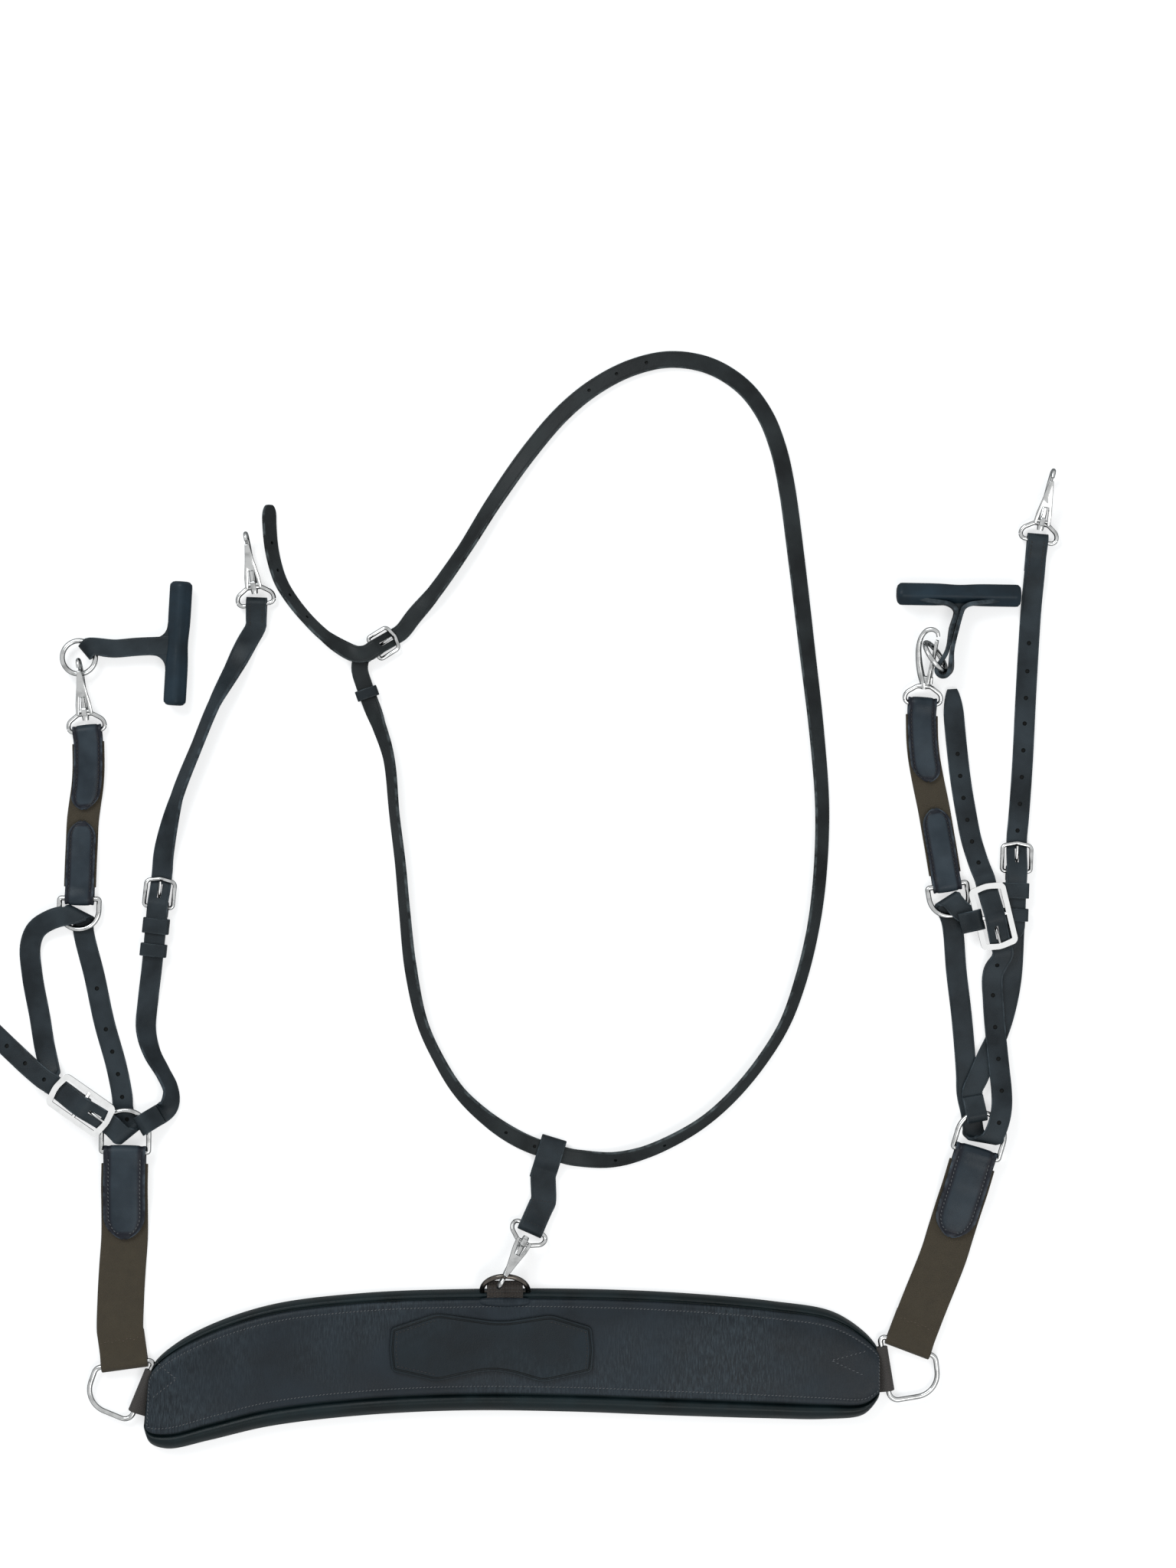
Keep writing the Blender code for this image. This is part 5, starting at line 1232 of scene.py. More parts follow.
CROSSING = frame_at((35.5, 157.4, LOW + LAYER), 253.0)
NECK_FLAT = ((-113.3, 540.6, 4.6), (-113.8, 533.5, 4.3), (-110.4, 522, 4.2), (-105.8, 509, 4.2))
NECK_ROUTE = ((-99, 491, 40), (-91, 465, 55), (-86.5, 420, 60), (-82, 383, 58), (-78.6, 345, 56),
              (-73.8, 300, 50), (-64.8, 258, 55), (-52.2, 229.8, 55), (-36, 204, 50),
              (-15, 183.6, 35), (6, 169, 12))
NECK_ROUTE_ON = ((60, 151.4, 8), (84, 150.6, 30), (108, 156, 45), (135, 168, 50),
                 (158, 182.6, 55), (181.2, 204, 55), (202.8, 231, 55), (219, 258, 55),
                 (231, 291, 50), (240.5, 330, 50), (246, 371, 45), (248, 425, 40),
                 (244, 482, 35), (236, 552, 25), (228, 620, 15), (220.2, 678, 10),
                 (213.5, 708, 10), (203, 734, 10), (186, 756, 10), (160, 772, 10),
                 (129, 777, 10), (99, 770.5, 10), (70.8, 756, 10), (46, 736, 10),
                 (20, 706, 12), (-9, 664.8, 30), (-32, 628, 42), (-56, 594, 36),
                 (-71.5, 576, 4))
NECK_TAIL = ((-116.5, 546.2, 8.7, 4), (-127.5, 551.2, 7.8, 30), (-141, 560.5, 55),
             (-154, 573, 58), (-166, 587.5, 56), (-175.5, 603, 52), (-182, 625, 50),
             (-184.4, 648, 48), (-184.4, 663, 46))
NECK_HOLES = (430, 455, 520, 560, 1290, 1315, 1340)


def snap_on(seat, heading, pitch):
    turned = frame_at((0, 0, 0), heading, pitch)
    return Matrix.Translation(Vector(seat) - turned @ Vector(SNAP_SEAT)) @ turned


def neck():
    """The neck strap with its buckle, tongue, keeper and tail."""
    place = frame_at((-102.6, 550.2, BUCKLE_LEVEL), 32.0)
    knots = sewn_end(behind(place), BUCKLE_WIRE, THICK, 5.5, lap_above=False)
    knots += flats(*NECK_FLAT) + way(NECK_ROUTE, NECK)
    knots += [free(*(CROSSING @ Vector((0, y, 0)))) for y in (-14, 0, 14)]
    knots += way(NECK_ROUTE_ON, NECK) + threaded(place, NECK_BUCKLE[0], 0) + way(NECK_TAIL, NECK)
    rows = stations(knots, NECK, step=5.0)
    strap = strap_sheet(rows, NECK, point=10, bevel=0.9)
    strap = chape_slot(tongue_slot(strap, place, NECK_BUCKLE[0]), place)
    strap = punched("neck", strap, rows, ((30, 22, range(4)),), NECK_HOLES, 2.8)
    piece(strap, "neck_strap_leather", "neck", NECK_LEATHER, ["neck_strap"])
    buckle("neck_buckle_wire", place, NECK_BUCKLE, "neck", "neck_buckle_frame")
    tongue("neck_tongue_pin", place, NECK_BUCKLE[0], "neck_tongue", "neck_buckle_tongue")
    places = [spot for across in (4.2, -4.2) for spot in seam(rows, 14, 30, across, WIDE_PITCH)]
    stitching("neck_stitches", "neck", places, DARK_THREAD, 2.2, 0.55)
    one, two = NECK_FLAT[2], NECK_FLAT[3]
    heading = math.degrees(math.atan2(two[1] - one[1], two[0] - one[0]))
    x, y, z = [(one[axis] + two[axis]) / 2 for axis in range(3)]
    keeper("neck_keeper_band", frame_at((x, y, z - HALF), heading), THICK, 8.0, NECK,
           "neck_keeper", "neck_keeper")


def loop_tab(eye_place):
    """The leather tab from the centre snap round the neck strap."""
    eye = frame_at(eye_place.translation, 66.0)
    half = NECK / 2 + 0.4
    lean = LAYER * math.sqrt(0.5)
    knots = sewn_end(eye, SNAP_WIRE, THICK, 20, lap_above=False)
    knots += profile(CROSSING, [(19, 0), (15, 0), (half + 4.5, LAYER * 0.6), (half + 1, LAYER),
                                (0, LAYER), (-half, LAYER), (-half - lean, lean),
                                (-half - LAYER, 0), (-half - lean, -lean), (-half, -LAYER),
                                (0, -LAYER), (8, -LAYER), (24, -LAYER)])
    rows = stations(knots, LOOP_TAB, step=3.0)
    hide(strap_sheet(rows, LOOP_TAB), "loop_tab_leather", "neck", "neck_loop_tab")
    top = next(index for index, row in enumerate(rows) if index > 8 and row[0].z > EYE_LEVEL)
    start = lengths(rows)[top] + 9
    ends = (start, start + 20)
    places = []
    for across in (-7.4, 7.4):
        places += seam(rows, *ends, across, under=True) + seam(rows, *ends, across)
    places += [cross_stitch(rows, reach, across)
               for reach in ends for across in (-4.5, -1.5, 1.5, 4.5)]
    stitching("loop_tab_stitches", "neck", places, DARK_THREAD, 2.3, 0.6)


# The two sides

RIGHT = {"name": "right", "hand": 1, "end_dee": (297.0, -12.6, 9.4),
         "wide_via": ((331.2, 45.0), (343.5, 76.0)), "lower_ring": (367.5, 156.0, 73.4),
         "upper_ring": (345.6, 365.4, -80.6), "clip": (326.4, 507.6, 86.0, 13.5, 75.0),
         "sways": (0.0, 9.0), "toggle": (0.528, -0.844, 0.16)}
LEFT = {"name": "left", "hand": -1, "end_dee": (-283.8, -30.2, 157.6),
        "wide_via": ((-301.2, 40.0), (-299.8, 66.0)), "lower_ring": (-297.0, 157.1, 89.0),
        "upper_ring": (-333.0, 355.0, -92.0), "clip": (-327.0, 486.0, 96.0, 7.0, 0.0),
        "sways": (0.0, -9.0), "toggle": (0.20, 0.95, -0.02)}


def tab_run(place, wire_size, length, sway):
    level = -(wire_size / 2 + FIT + HALF) + HALF + FIT + ELASTIC / 2
    floor = ELASTIC_LOW - place.translation.z
    return [(reach, sway * (reach / length) ** 2, height) for reach, height in
            ((9.0, level), (28.0, level), (42.0, (level + floor) / 2), (length, floor))]


def elastic_end(place, wire_size, length, sway=0.0):
    return [local(place, x, y, z) for x, y, z in tab_run(place, wire_size, length, sway)]


def edge_path(rows, width, thick, start, point, inset):
    """The line of a tab's seam: up one long edge, round the point and back."""
    run = lengths(rows)[-1]
    one, two = [], []
    count = 48
    for step in range(count + 1):
        reach = start + (run - inset * 1.1 - start) * step / count
        half = arched(run - reach, point, TAB_ARCH) * width / 2 - inset
        if half < 0.4:
            break
        for hand, line in ((1, one), (-1, two)):
            spot, _, normal = spot_on(rows, reach, hand * half, thick / 2)
            line.append((spot, normal))
    return one + two[::-1]


def tab(name, node, place, wire_size, width, length, body, sway=0.0):
    """A pointed tab round a bar, over its elastic on top and under it below, with its seam."""
    turn = wire_size / 2 + FIT + HALF
    upper = ELASTIC / 2 + FIT + HALF
    run = tab_run(place, wire_size, length, sway)
    level = run[0][2] + upper
    lean = math.sqrt(0.5) * turn
    spots = [(TAB_BACK, sway * (TAB_BACK / length) ** 2, -turn), (NEAR * turn, 0, -turn),
             (0, 0, -turn), (-lean, 0, -lean), (-turn, 0, 0), (-lean, 0, lean), (0, 0, turn),
             (NEAR * turn, 0, (turn + level) / 2), (2.4 * turn, 0, level)]
    spots += [(x, y, z + upper) for x, y, z in run[1:]]
    rows = stations([local(place, *spot) for spot in spots], width, step=2.5)
    point = TAB_POINT * width
    sheet = strap_sheet(rows, width, point=point, bevel=0.7, crown=0.6, arch=TAB_ARCH,
                        across=TAB_ACROSS, groove=0.4)
    piece(sheet, name, body, TAB_LEATHER, [node])
    top = min(index for index, row in enumerate(rows)
              if (place.inverted() @ row[0]).z > turn * 0.9)
    line = edge_path(rows, width, THICK + 0.25, lengths(rows)[top] + 6, point, width * 0.12)
    stitching(name + "_stitches", body, path_seam(line, PITCH),
              PALE_THREAD if width == WIDE_TAB else DARK_THREAD, 2.4, 0.9)


def clip_frames(side):
    """The frames of a clip's eye and of its hook, which may be rolled on its side."""
    x, y, heading, pitch, twist = side["clip"]
    eye = frame_at((x, y, EYE_LEVEL), heading, pitch)
    ahead = Matrix.Translation((3.2 if twist else 0.0, 0, 0))
    return eye, eye @ ahead @ rotation(twist, "X")


def elastic(name, knots, width, body, node):
    rows = stations(knots, width, ELASTIC, bend=10)
    piece(strap_sheet(rows, width, ELASTIC, bevel=0.5), name, body, ELASTIC_WEB, [node])
    return rows


def side_branch(side):
    """One side, from its end ring up to its clip. Gives the frame of the clip's hook."""
    name, hand = side["name"], side["hand"]
    dee = ring_frame(side, "end_dee", END_DEE_LEVEL)
    low = ring_frame(side, "lower_ring", HIGH_RING_LEVEL)
    high = ring_frame(side, "upper_ring", RING_LEVEL)
    eye, hook = clip_frames(side)
    end_dee(name + "_end_dee", dee, hand, name + "_end_ring")
    start = shoulder_frame(dee, hand)
    knots = sewn_end(start, RING_WIRE, ELASTIC, 25.0, lap_above=False)
    knots += [free(x, y, ELASTIC_LOW) for x, y in side["wide_via"]]
    knots += elastic_end(behind(low), RING_WIRE, WIDE_TAB_LENGTH)[::-1]
    body = name + "_lower_elastic"
    rows = elastic(name + "_wide_web", knots, WIDE_ELASTIC, body, name + "_wide_elastic")
    lower_seam(name, rows, start)
    tab(name + "_wide_tab", name + "_elastic_tab", behind(low), RING_WIRE, WIDE_TAB,
        WIDE_TAB_LENGTH, body)
    for ring, place, size in (("_lower_ring", low, LOWER_DEE), ("_upper_ring", high, UPPER_DEE)):
        ring_piece(name + ring, place, dee_outline(*size), name + ring)
    clip_x, clip_y, clip_heading = side["clip"][:3]
    clip_tab = frame_at((clip_x, clip_y, EYE_LEVEL), clip_heading + 180)
    below, above = [(place, wire_size, NARROW_TAB_LENGTH, sway) for place, wire_size, sway in
                    zip((behind(high), clip_tab), (RING_WIRE, SNAP_WIRE), side["sways"])]
    body = name + "_upper_elastic"
    elastic(name + "_narrow_web", elastic_end(*below) + elastic_end(*above)[::-1],
            NARROW_ELASTIC, body, body)
    for end, (place, wire_size, length, sway) in (("low", below), ("high", above)):
        tab(f"{name}_{end}_tab", f"{name}_upper_tab_{end}", place, wire_size, NARROW_TAB, length,
            body, sway)
    snap(name + "_clip", eye, hook, name + "_clip")
    return hook


def lower_seam(name, rows, start):
    """The row of thread flecks that closes the wide elastic's lap."""
    passed = min(index for index, row in enumerate(rows) if (start.inverted() @ row[0]).z > 2.5)
    reach = lengths(rows)[passed] + 22
    places = [cross_stitch(rows, reach + 0.8 * math.sin(step * 2.2),
                           (step - 5.5) * WIDE_ELASTIC / 12.6, ELASTIC / 2) for step in range(12)]
    stitching(name + "_lap_stitches", name + "_lower_elastic", places, TAN_THREAD, 2.0, 0.6, 8)


# The loop belts

def belt(name, place, knots, room, point, arch, holes):
    """A loop belt with its point, slots, holes, buckle and tongue."""
    body = name + "_belt"
    rows = stations(knots, STRAP)
    strap = strap_sheet(rows, STRAP, point=point, arch=arch)
    strap = chape_slot(tongue_slot(strap, place, LOOP_BUCKLE[0] / 2), place, room)
    strap = punched(body, strap, rows, holes)
    hide(strap, body + "_leather", body, name + "_loop_strap")
    loop_buckle(name, place)


def right_belt():
    """The right loop belt: its lap at the buckle, both rings, the buckle and its tail."""
    place = frame_at((381.0, 341.4, 13.2), -76.5)
    length, width = LOOP_BUCKLE
    chape_place = frame_at(place @ Vector((0, -width / 2, 0)), -76.5 - 90)
    knots = sewn_end(chape_place, BUCKLE_WIRE, THICK, 14.0)[:-1]
    knots += flats((356.0, 346.0, 8.9))
    knots += slanted_turn(347.0, 351.7, 95, -30, UPPER_BEND)[::-1]
    knots += flats((349.6, 337.0), (353.4, 297), (357.6, 261), (361, 219), (361.6, 202),
                   (364.8, 187))
    knots += slanted_turn(374.0, 171.0, -62, 42, LOWER_BEND)
    knots += flats((385.4, 180.5, 13.3), (387.6, 192, 12.6), (387.8, 205, 9.8), (386.2, 222, 8.3),
                   (384.9, 236, 6.6), (383.2, 254, 5.2), (381.8, 275, 4.5), (381.6, 296, 4.8))
    knots += threaded(place, length / 2, length / 2, 0.7)
    knots += flats((371.5, 380, 3.4), (365, 401), (361, 421), (357, 445), (354, 470),
                   (351.6, 495), (350, 519))
    room = BUCKLE_WIRE / 2 + FIT
    belt("right", place, knots, ((-room, -width / 2 + 1, -room), (room, -width / 2 + 7, room)),
         24, TAIL_ARCH, ((51, 17.4, range(6)), (28, 25, range(8, 14))))


def left_belt():
    """The left loop belt: its turn at the buckle, both rings, the buckle and its tail."""
    place = frame_at((-330.5, 194.1, 16.0), -35.0)
    half = LOOP_BUCKLE[0] / 2
    lean = BUCKLE_TURN * math.sqrt(0.5)
    knots = profile(place, [(-6.5, 0.2), (-3.4, 2.2), (0, BUCKLE_TURN), (lean, lean),
                            (BUCKLE_TURN, 0), (lean, -lean), (0, -BUCKLE_TURN),
                            (-5, -BUCKLE_TURN), (-12, -4.8), (-half, -6.2), (-half - 7, -6.4)])
    knots += flats((-356, 219, 5.6), (-358.5, 229, 2.6), (-361, 240), (-364.5, 262),
                   (-370.5, 295), (-371.8, 318, 3.0), (-366.5, 331, 5.6), (-354, 339, 8.6))
    knots += slanted_turn(-333.6, 341.4, 100, 206, UPPER_BEND)[::-1]
    knots += flats((-330.5, 331), (-321.6, 293.4), (-314.1, 258), (-304.5, 223.2), (-300.0, 200),
                   (-299.0, 188))
    knots += slanted_turn(-297.0, 174.2, -77, 155, LOWER_BEND)
    knots += threaded(place, half, half)
    knots += flats((-360, 214, 10.6), (-372, 223.5, 7.4), (-384, 234, 3.6), (-396, 245),
                   (-409.2, 258), (-416, 265))
    belt("left", place, knots, CHAPE_ROOM, 12, PLAIN_ARCH,
         ((16, 20.5, range(4)), (180.5, 18.2, (0, 1, 2, 3, 4, 5.8))))


def loop_buckle(name, place):
    """A flat polished buckle with bowed ends, its bar and its tongue."""
    length, width = LOOP_BUCKLE

    def ring(out):
        half, ends = width / 2 + out, length / 2 + out
        side = [(ends, -half, 3 + out), (ends + BUCKLE_BULGE, 0, 20), (ends, half, 3 + out)]
        return arc_corners(side + [(-x, -y, radius) for x, y, radius in side], 6)

    item = plate(place, ring(BUCKLE_RIM), BUCKLE_PLATE, 0)
    cut(item, plate(place, ring(-BUCKLE_RIM), 3 * BUCKLE_PLATE, 0))
    bar = peg(place, (0, 0, 0), BUCKLE_WIRE, width, bevel=0.3)
    item = smooth(joined([bevelled(item, 0.9, PLATE_BEVEL_ANGLE, 3), bar]))
    piece(item, name + "_loop_buckle_body", name + "_belt", BRIGHT_STEEL,
          [name + "_loop_buckle_frame"])
    tongue(name + "_loop_tongue_pin", place, length / 2, name + "_belt_tongue",
           name + "_loop_buckle_tongue")


# The girth branches

RIGHT_GIRTH = {"name": "right", "buckle": (399.8, 376.3, 88.0), "snap": (416.4, 634.8, 78.0, 8.0),
               "strap_heading": 85.0, "lap": 24.0, "side": RIGHT, "eye": (101.0, 100.0),
               "lower": ((370.5, 216.0, 4.7, 0), (377.0, 231.0, 4.6, 0), (384.5, 246, 2.6, 0),
                         (391, 265, 0), (396.3, 292, 0)),
               "upper": ((402, 417, 0), (405, 459, 0), (408, 519, 0), (411.6, 579, 0)),
               "tail": 52.0, "holes": (53, 74, 95, 116, 137, 157, 178, 200)}
LEFT_GIRTH = {"name": "left", "buckle": (-271.5, 348.5, 84.0), "snap": (-194.5, 585.0, 98.0, 8.0),
              "strap_heading": 88.0, "lap": 14.0, "side": LEFT, "eye": (29.0, 31.0),
              "lower": ((-262.5, 194, 32), (-261.5, 206, 55), (-267.5, 219, 57),
                        (-276, 234, 46), (-281, 252, 24), (-279.8, 275, 0)),
              "upper": ((-267, 392, 14), (-256.8, 433.8, 54), (-240.6, 475.2, 58), (-227, 508, 56),
                        (-213, 534, 34), (-202.5, 555, 0)),
              "tail": 36.0, "holes": ()}
EYE_SAG = 2.3
EYE_LAP = 14.5


def girth_eye(girth):
    """Where the girth's loose eye lies on the lower ring."""
    angle, heading = girth["eye"]
    ring = ring_frame(girth["side"], "lower_ring", HIGH_RING_LEVEL)
    radius = LOWER_DEE[0] / 2
    middle = ring @ Vector((LOWER_DEE[1] - radius, 0, 0))
    return frame_at(frame_at(middle, angle) @ Vector((radius - EYE_SAG / 2, 0, 0)), heading)


def girth(given):
    """A girth branch: lower strap, keepers, buckle, punched upper strap and snap hook."""
    name = given["name"]
    body = name + "_girth"
    x, y, heading = given["buckle"]
    place = frame_at((x, y, BUCKLE_LEVEL), heading)
    back = behind(place)
    held = LAYER - BUCKLE_TURN
    eye = girth_eye(given)
    knots = sewn_end(eye, RING_WIRE, THICK, EYE_LAP, EYE_SAG)
    knots.append(local(eye, EYE_LAP + 2, 0, RING_LEVEL - RING_TURN - HIGH_RING_LEVEL + LAYER))
    knots += way(given["lower"]) + profile(back, [(50, held), (30, held)])
    knots += sewn_end(back, BUCKLE_WIRE, THICK, 7.5, lap_above=False)[:-1][::-1]
    strap = chape_slot(strap_sheet(stations(knots, STRAP), STRAP), place)
    hide(strap, body + "_lower_leather", body, body + "_strap")
    for band, reach, length, *holder in (("_fixed_band", 15.0, 12.0, body),
                                         ("_sliding_band", 34.0, 10.0, *[body + "_keeper"] * 2)):
        keeper(name + band, place @ Matrix.Translation((-reach, 0, held - HALF)), THICK + LAYER,
               length, STRAP, *holder)
    x, y, heading, pitch = given["snap"]
    start = frame_at((x, y, EYE_LEVEL), given["strap_heading"] + 180)
    knots = sewn_end(start, SNAP_WIRE, THICK, given["lap"], EYE_SAG, False, -EYE_TURN)
    knots += way(given["upper"][::-1]) + threaded(place, GIRTH_BUCKLE[0], 0)
    knots += profile(place, [(-reach, held + LAYER) for reach in (13.5, 30, given["tail"])])
    rows = stations(knots, STRAP)
    strap = tongue_slot(strap_sheet(rows, STRAP, point=10), place, GIRTH_BUCKLE[0])
    if given["holes"]:
        strap = punched(body, strap, rows, ((34, 1, given["holes"]),))
    hide(strap, body + "_upper_leather", body, body + "_buckle_strap")
    folded = min(index for index, row in enumerate(rows) if index > 3 and row[0].z > EYE_LEVEL)
    start = lengths(rows)[folded] + 8
    under = spot_on(rows, start + 4)[2].z < 0
    places = [spot for across in (-4.8, 4.8)
              for spot in seam(rows, start, start + given["lap"] * 1.2, across, under=under)]
    stitching(body + "_stitches", body, places, DARK_THREAD, 2.3, 0.9)
    buckle(body + "_buckle_wire", place, GIRTH_BUCKLE, body, body + "_buckle_frame")
    tongue(body + "_tongue_pin", place, GIRTH_BUCKLE[0], body + "_tongue", body + "_buckle_tongue")
    hook = frame_at((x, y, EYE_LEVEL), heading, pitch)
    snap(body + "_hook", hook, hook, body + "_snap", body + "_lever")


# Toggles

RIGHT_TOGGLE = {"bar": (354.5, 592.5, -1.0), "loop": (0.0, 80.0), "tall": 12.0, "edge": True,
                "way": ((346.6, 547.5, 14.5), (350.6, 566, 11), (354, 589, 9))}
LEFT_TOGGLE = {"bar": (-255.6, 554.4, 86.7), "loop": (-56.0, 22.0), "tall": 14.0, "edge": False,
               "way": ((-304, 550.5, 8), (-288, 551.8, 8.5), (-260, 553, 9))}
TOGGLE_LENGTH = 96.0
TOGGLE_THICK = 17.5
STEM_THICK = 3.4
STEM_PLAY = 1.1
FLARE_LEVEL, FLARE_THICK = 9.0, 6.8
BAR_SIDES, BAR_STEPS = 36, 24
STEM_LEGS = ((2.0, -14.0, 9.8), (3.4, -10.6, 11.0), (8.0, -7.6, 12.0), (16.0, -6.2, 12.2),
             (25.0, -5.0, 11.0), (33.0, -3.0, 8.5))
STEM_CROTCH = ((-6, -6, 0.3), (6, -6, 0.3), (5.2, -8.8, 0.5), (1.2, -13.2, 0.5),
               (-1.2, -13.2, 0.5), (-5.2, -8.8, 0.5))
STEM_FLARE = ((-22, 4, 0.5), (16, 4, 0.5), (16, 8.4, 0.3), (3.6, 9.4, 10), (3.4, 24, 0.3),
              (-10.4, 24, 0.3), (-10.6, 9.4, 10), (-22, 8.4, 0.3))


def toggle_ring_frame(hook, side):
    """The frame of a toggle's ring, which hangs in the seat of the clip's hook."""
    along = direction(hook, 0, 1, 0).normalized()
    inward = Vector(side["toggle"])
    inward = (inward - along * inward.dot(along)).normalized()
    turned = Matrix((inward, along, inward.cross(along))).transposed().to_4x4()
    return Matrix.Translation(hook @ Vector(SNAP_SEAT) + inward * TOGGLE_RING / 2) @ turned


def rolled_bar(place):
    """A bar rolled from leather: flattened facets, soft ends and the lip of its last turn."""
    radius = TOGGLE_THICK / 2
    shape = []
    for step in range(BAR_SIDES):
        turn = 2 * math.pi * step / BAR_SIDES
        facet = 0.98 + 0.055 * math.cos(5 * (turn - math.pi / 2 - 0.12))
        lip = 0.05 * max(0.0, 1 - abs(turn - 1.15) / 0.16)
        reach = radius * facet * (1 + lip)
        shape.append((reach * math.cos(turn), reach * math.sin(turn)))
    sections = []
    for step in range(-BAR_STEPS, BAR_STEPS + 1):
        share = step / BAR_STEPS
        edge = max(0.0, (abs(share) - 0.93) / 0.07)
        scale = 1 - 0.24 * edge ** 2.6
        waist = 1 - 0.10 * math.exp(-(share / 0.24) ** 2)
        sections.append([place @ Vector((share * TOGGLE_LENGTH / 2, y * scale * waist,
                                         radius * 0.99 + FLOOR_GAP + z * scale * waist))
                         for y, z in shape])

    def cap(section, away):
        """A rounded, slightly hollow end beyond a section, from the inside out."""
        centre = sum(section, Vector()) / len(section)
        return [[centre + (spot - centre) * share + away * out for spot in section]
                for share, out in ((0.45, -0.9), (0.72, 0.5))]

    return loft(cap(sections[0], direction(place, -1, 0, 0)) + sections
                + cap(sections[-1], direction(place, 1, 0, 0))[::-1])


def toggle(name, ring, given, body):
    """A toggle: its stem folded round the ring, and the bar that its end is rolled into."""
    x, y, heading = given["bar"]
    on_edge, tall = given["edge"], given["tall"]
    turned = ring @ rotation(given["loop"][0], "Z")
    wire_spot = turned @ Vector((TOGGLE_RING / 2 - STEM_PLAY, 0, 0))
    along = direction(turned, 0, 1, 0).normalized()
    turn = RING_WIRE / 2 + FIT + STEM_PLAY + STEM_THICK / 2
    ahead = bearing(given["loop"][1])
    ahead = (ahead - along * ahead.dot(along)).normalized()
    aside = ahead.cross(along).normalized()
    offset = STEM_THICK / 2 + FIT
    circle = [(wire_spot + aside * turn * math.cos(math.radians(angle))
               - ahead * turn * math.sin(math.radians(angle)), along)
              for angle in (0, 45, 90, 135, 180)]
    going, coming = [], []
    spots = [wire_spot] + [Vector(spot) for spot in given["way"]]
    for index in range(1, len(spots)):
        line = (spots[min(index + 1, len(spots) - 1)] - spots[index - 1]).normalized()
        target = UP if on_edge else UP.cross(line)
        if target.dot(along) < 0:
            target = -target
        side = along.lerp(target, min(1.0, index / 2)).normalized()
        normal = line.cross(side).normalized()
        going.append((spots[index] + normal * offset, side))
        coming.append((spots[index] - normal * offset, side))
    bar_place = frame_at((x, y, 0), heading)
    if on_edge:
        apart = (going[-1][0] - coming[-1][0]).dot(direction(bar_place, 1, 0, 0))
        for layer, hand in ((going, math.copysign(1, apart)), (coming, -math.copysign(1, apart))):
            side = layer.pop()[1]
            layer += [(bar_place @ Vector((out * hand, beyond, z)), side)
                      for out, beyond, z in STEM_LEGS]
    flare = arc_corners(STEM_CROTCH if on_edge else STEM_FLARE)
    flare = plate(frame_at((x, y, FLARE_LEVEL), heading), flare, FLARE_THICK, 0.9)
    piece(flare, name + "_flare", body, STRAP_LEATHER, ())
    rows = stations(going[::-1] + circle + coming, tall, STEM_THICK, 3.0)
    stem = strap_sheet(rows, tall, STEM_THICK, bevel=0.7)
    piece(rolled_bar(bar_place), name + "_bar", body, TOGGLE_LEATHER, [name])
    piece(stem, name + "_stem", body, STRAP_LEATHER, ())


# The whole piece

def pad():
    """The pad with all that is sewn to it, and the ring on its middle web."""
    chest_cushion()
    face_panel()
    face_patch()
    panel_seams()
    for side in (RIGHT, LEFT):
        name, dee = side["name"], ring_frame(side, "end_dee", END_DEE_LEVEL)
        chape(name + "_end_web", behind(dee), END_WEB, WEBBING, name + "_end_chape")
    chape("centre_web", frame_at(CENTRE_DEE_PLACE, -90), CENTRE_WEB, BROWN_WEB, "centre_chape")
    centre_flap(centre_dee_frame())
    web_socket()
    ring_piece("centre_dee", centre_dee_frame(), dee_outline(*CENTRE_DEE), "centre_ring",
               DARK_STEEL)


pad()
seat = centre_dee_frame() @ Vector((CENTRE_DEE[1], 0, 0))
centre_snap = snap_on(seat, -120.0, 27.0)
snap("centre_hook", centre_snap, centre_snap, "centre_snap")
loop_tab(centre_snap)
neck()
round_outline = [(TOGGLE_RING / 2 * math.cos(math.pi * step / 24),
                  TOGGLE_RING / 2 * math.sin(math.pi * step / 24)) for step in range(48)]
for side, given in ((RIGHT, RIGHT_TOGGLE), (LEFT, LEFT_TOGGLE)):
    name = side["name"] + "_toggle"
    ring = toggle_ring_frame(side_branch(side), side)
    ring_piece(name + "_ring", ring, round_outline, name + "_ring")
    toggle(name, ring, given, name)
right_belt()
left_belt()
girth(RIGHT_GIRTH)
girth(LEFT_GIRTH)


# The table, the light and the camera

TABLE_GREY = (0.62, 0.62, 0.62, 1)
SKY = (0.34, 0.36, 0.38)
BLACK, WHITE = (0, 0, 0), (1, 1, 1)
CAMERA_HEIGHT = 3.0
VIEW_HEIGHT = 1.2288
SENSOR = 24.0


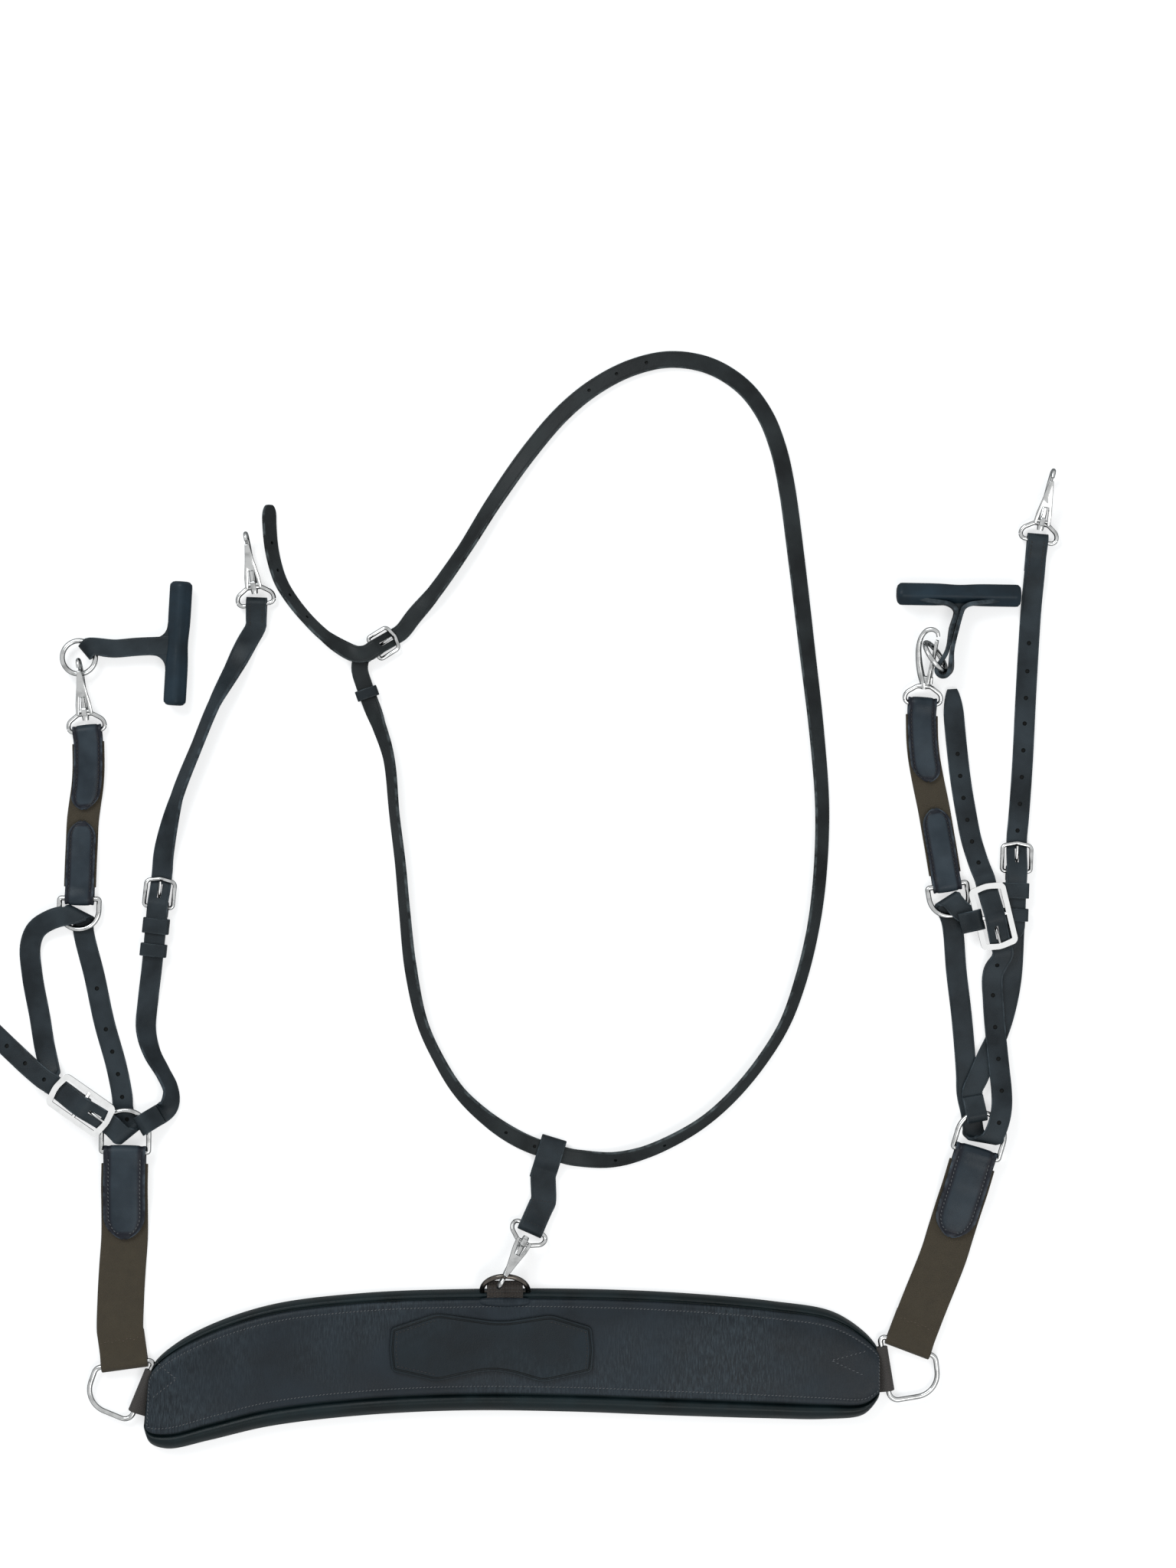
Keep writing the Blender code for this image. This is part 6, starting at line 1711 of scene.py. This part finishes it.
def table_top():
    """The white table under the piece."""
    floor = made(bpy.ops.mesh.primitive_plane_add, size=12)
    floor.name = "table_top"
    floor.data.transform(Matrix.Translation((0, 0.44, -0.0004)))
    material, tree, _ = material_of("white table")
    seen = add(tree, "LightPath")["Is Camera Ray"]
    principled(tree, Base_Color=TABLE_GREY, Roughness=0.9, Specular_IOR_Level=0.0,
               Emission_Strength=0.62, Emission_Color=mix(tree, seen, BLACK, WHITE))
    floor.data.materials.append(material)


def lamp(name, place, target, size, power, colour):
    item = made(bpy.ops.object.light_add, type="AREA", location=place)
    item.name = name
    item.data.shape = "RECTANGLE"
    item.data.size, item.data.size_y = size
    item.data.energy = power
    item.data.color = colour
    item.rotation_euler = (Vector(target) - Vector(place)).to_track_quat("-Z", "Y").to_euler()


def light():
    """The pale room and its two lamps."""
    world = bpy.data.worlds.new("pale room")
    bpy.context.scene.world = world
    world.use_nodes = True
    tree = world.node_tree
    path = add(tree, "LightPath")
    sky = tree.nodes["Background"]
    sky.inputs["Strength"].default_value = 1.0
    seen = maths(tree, "ADD", path["Is Camera Ray"], path["Is Glossy Ray"])
    seen = maths(tree, "ADD", seen, path["Is Transmission Ray"], clamp=True)
    feed(tree, sky.inputs["Color"], mix(tree, seen, SKY, WHITE))
    lamp("window", (-1.1, 1.9, 2.0), (0.05, 0.35, 0), (1.5, 1.0), 34, (0.93, 0.98, 1.0))
    lamp("ceiling", (0.9, -0.9, 2.6), (0.05, 0.45, 0), (1.8, 1.2), 26, (1.0, 0.99, 0.97))


def camera():
    """The view of the photograph, from straight above."""
    data = bpy.data.cameras.new("photo view")
    item = linked("photo view", data)
    item.location = (0.0648, 0.4446, CAMERA_HEIGHT)
    data.sensor_fit = "VERTICAL"
    data.sensor_height = SENSOR
    data.lens = SENSOR * CAMERA_HEIGHT / VIEW_HEIGHT
    data.clip_end = 20.0
    bpy.context.scene.camera = item
    bpy.context.scene.view_settings.view_transform = "Standard"


table_top()
light()
camera()
bpy.ops.object.select_all(action="DESELECT")
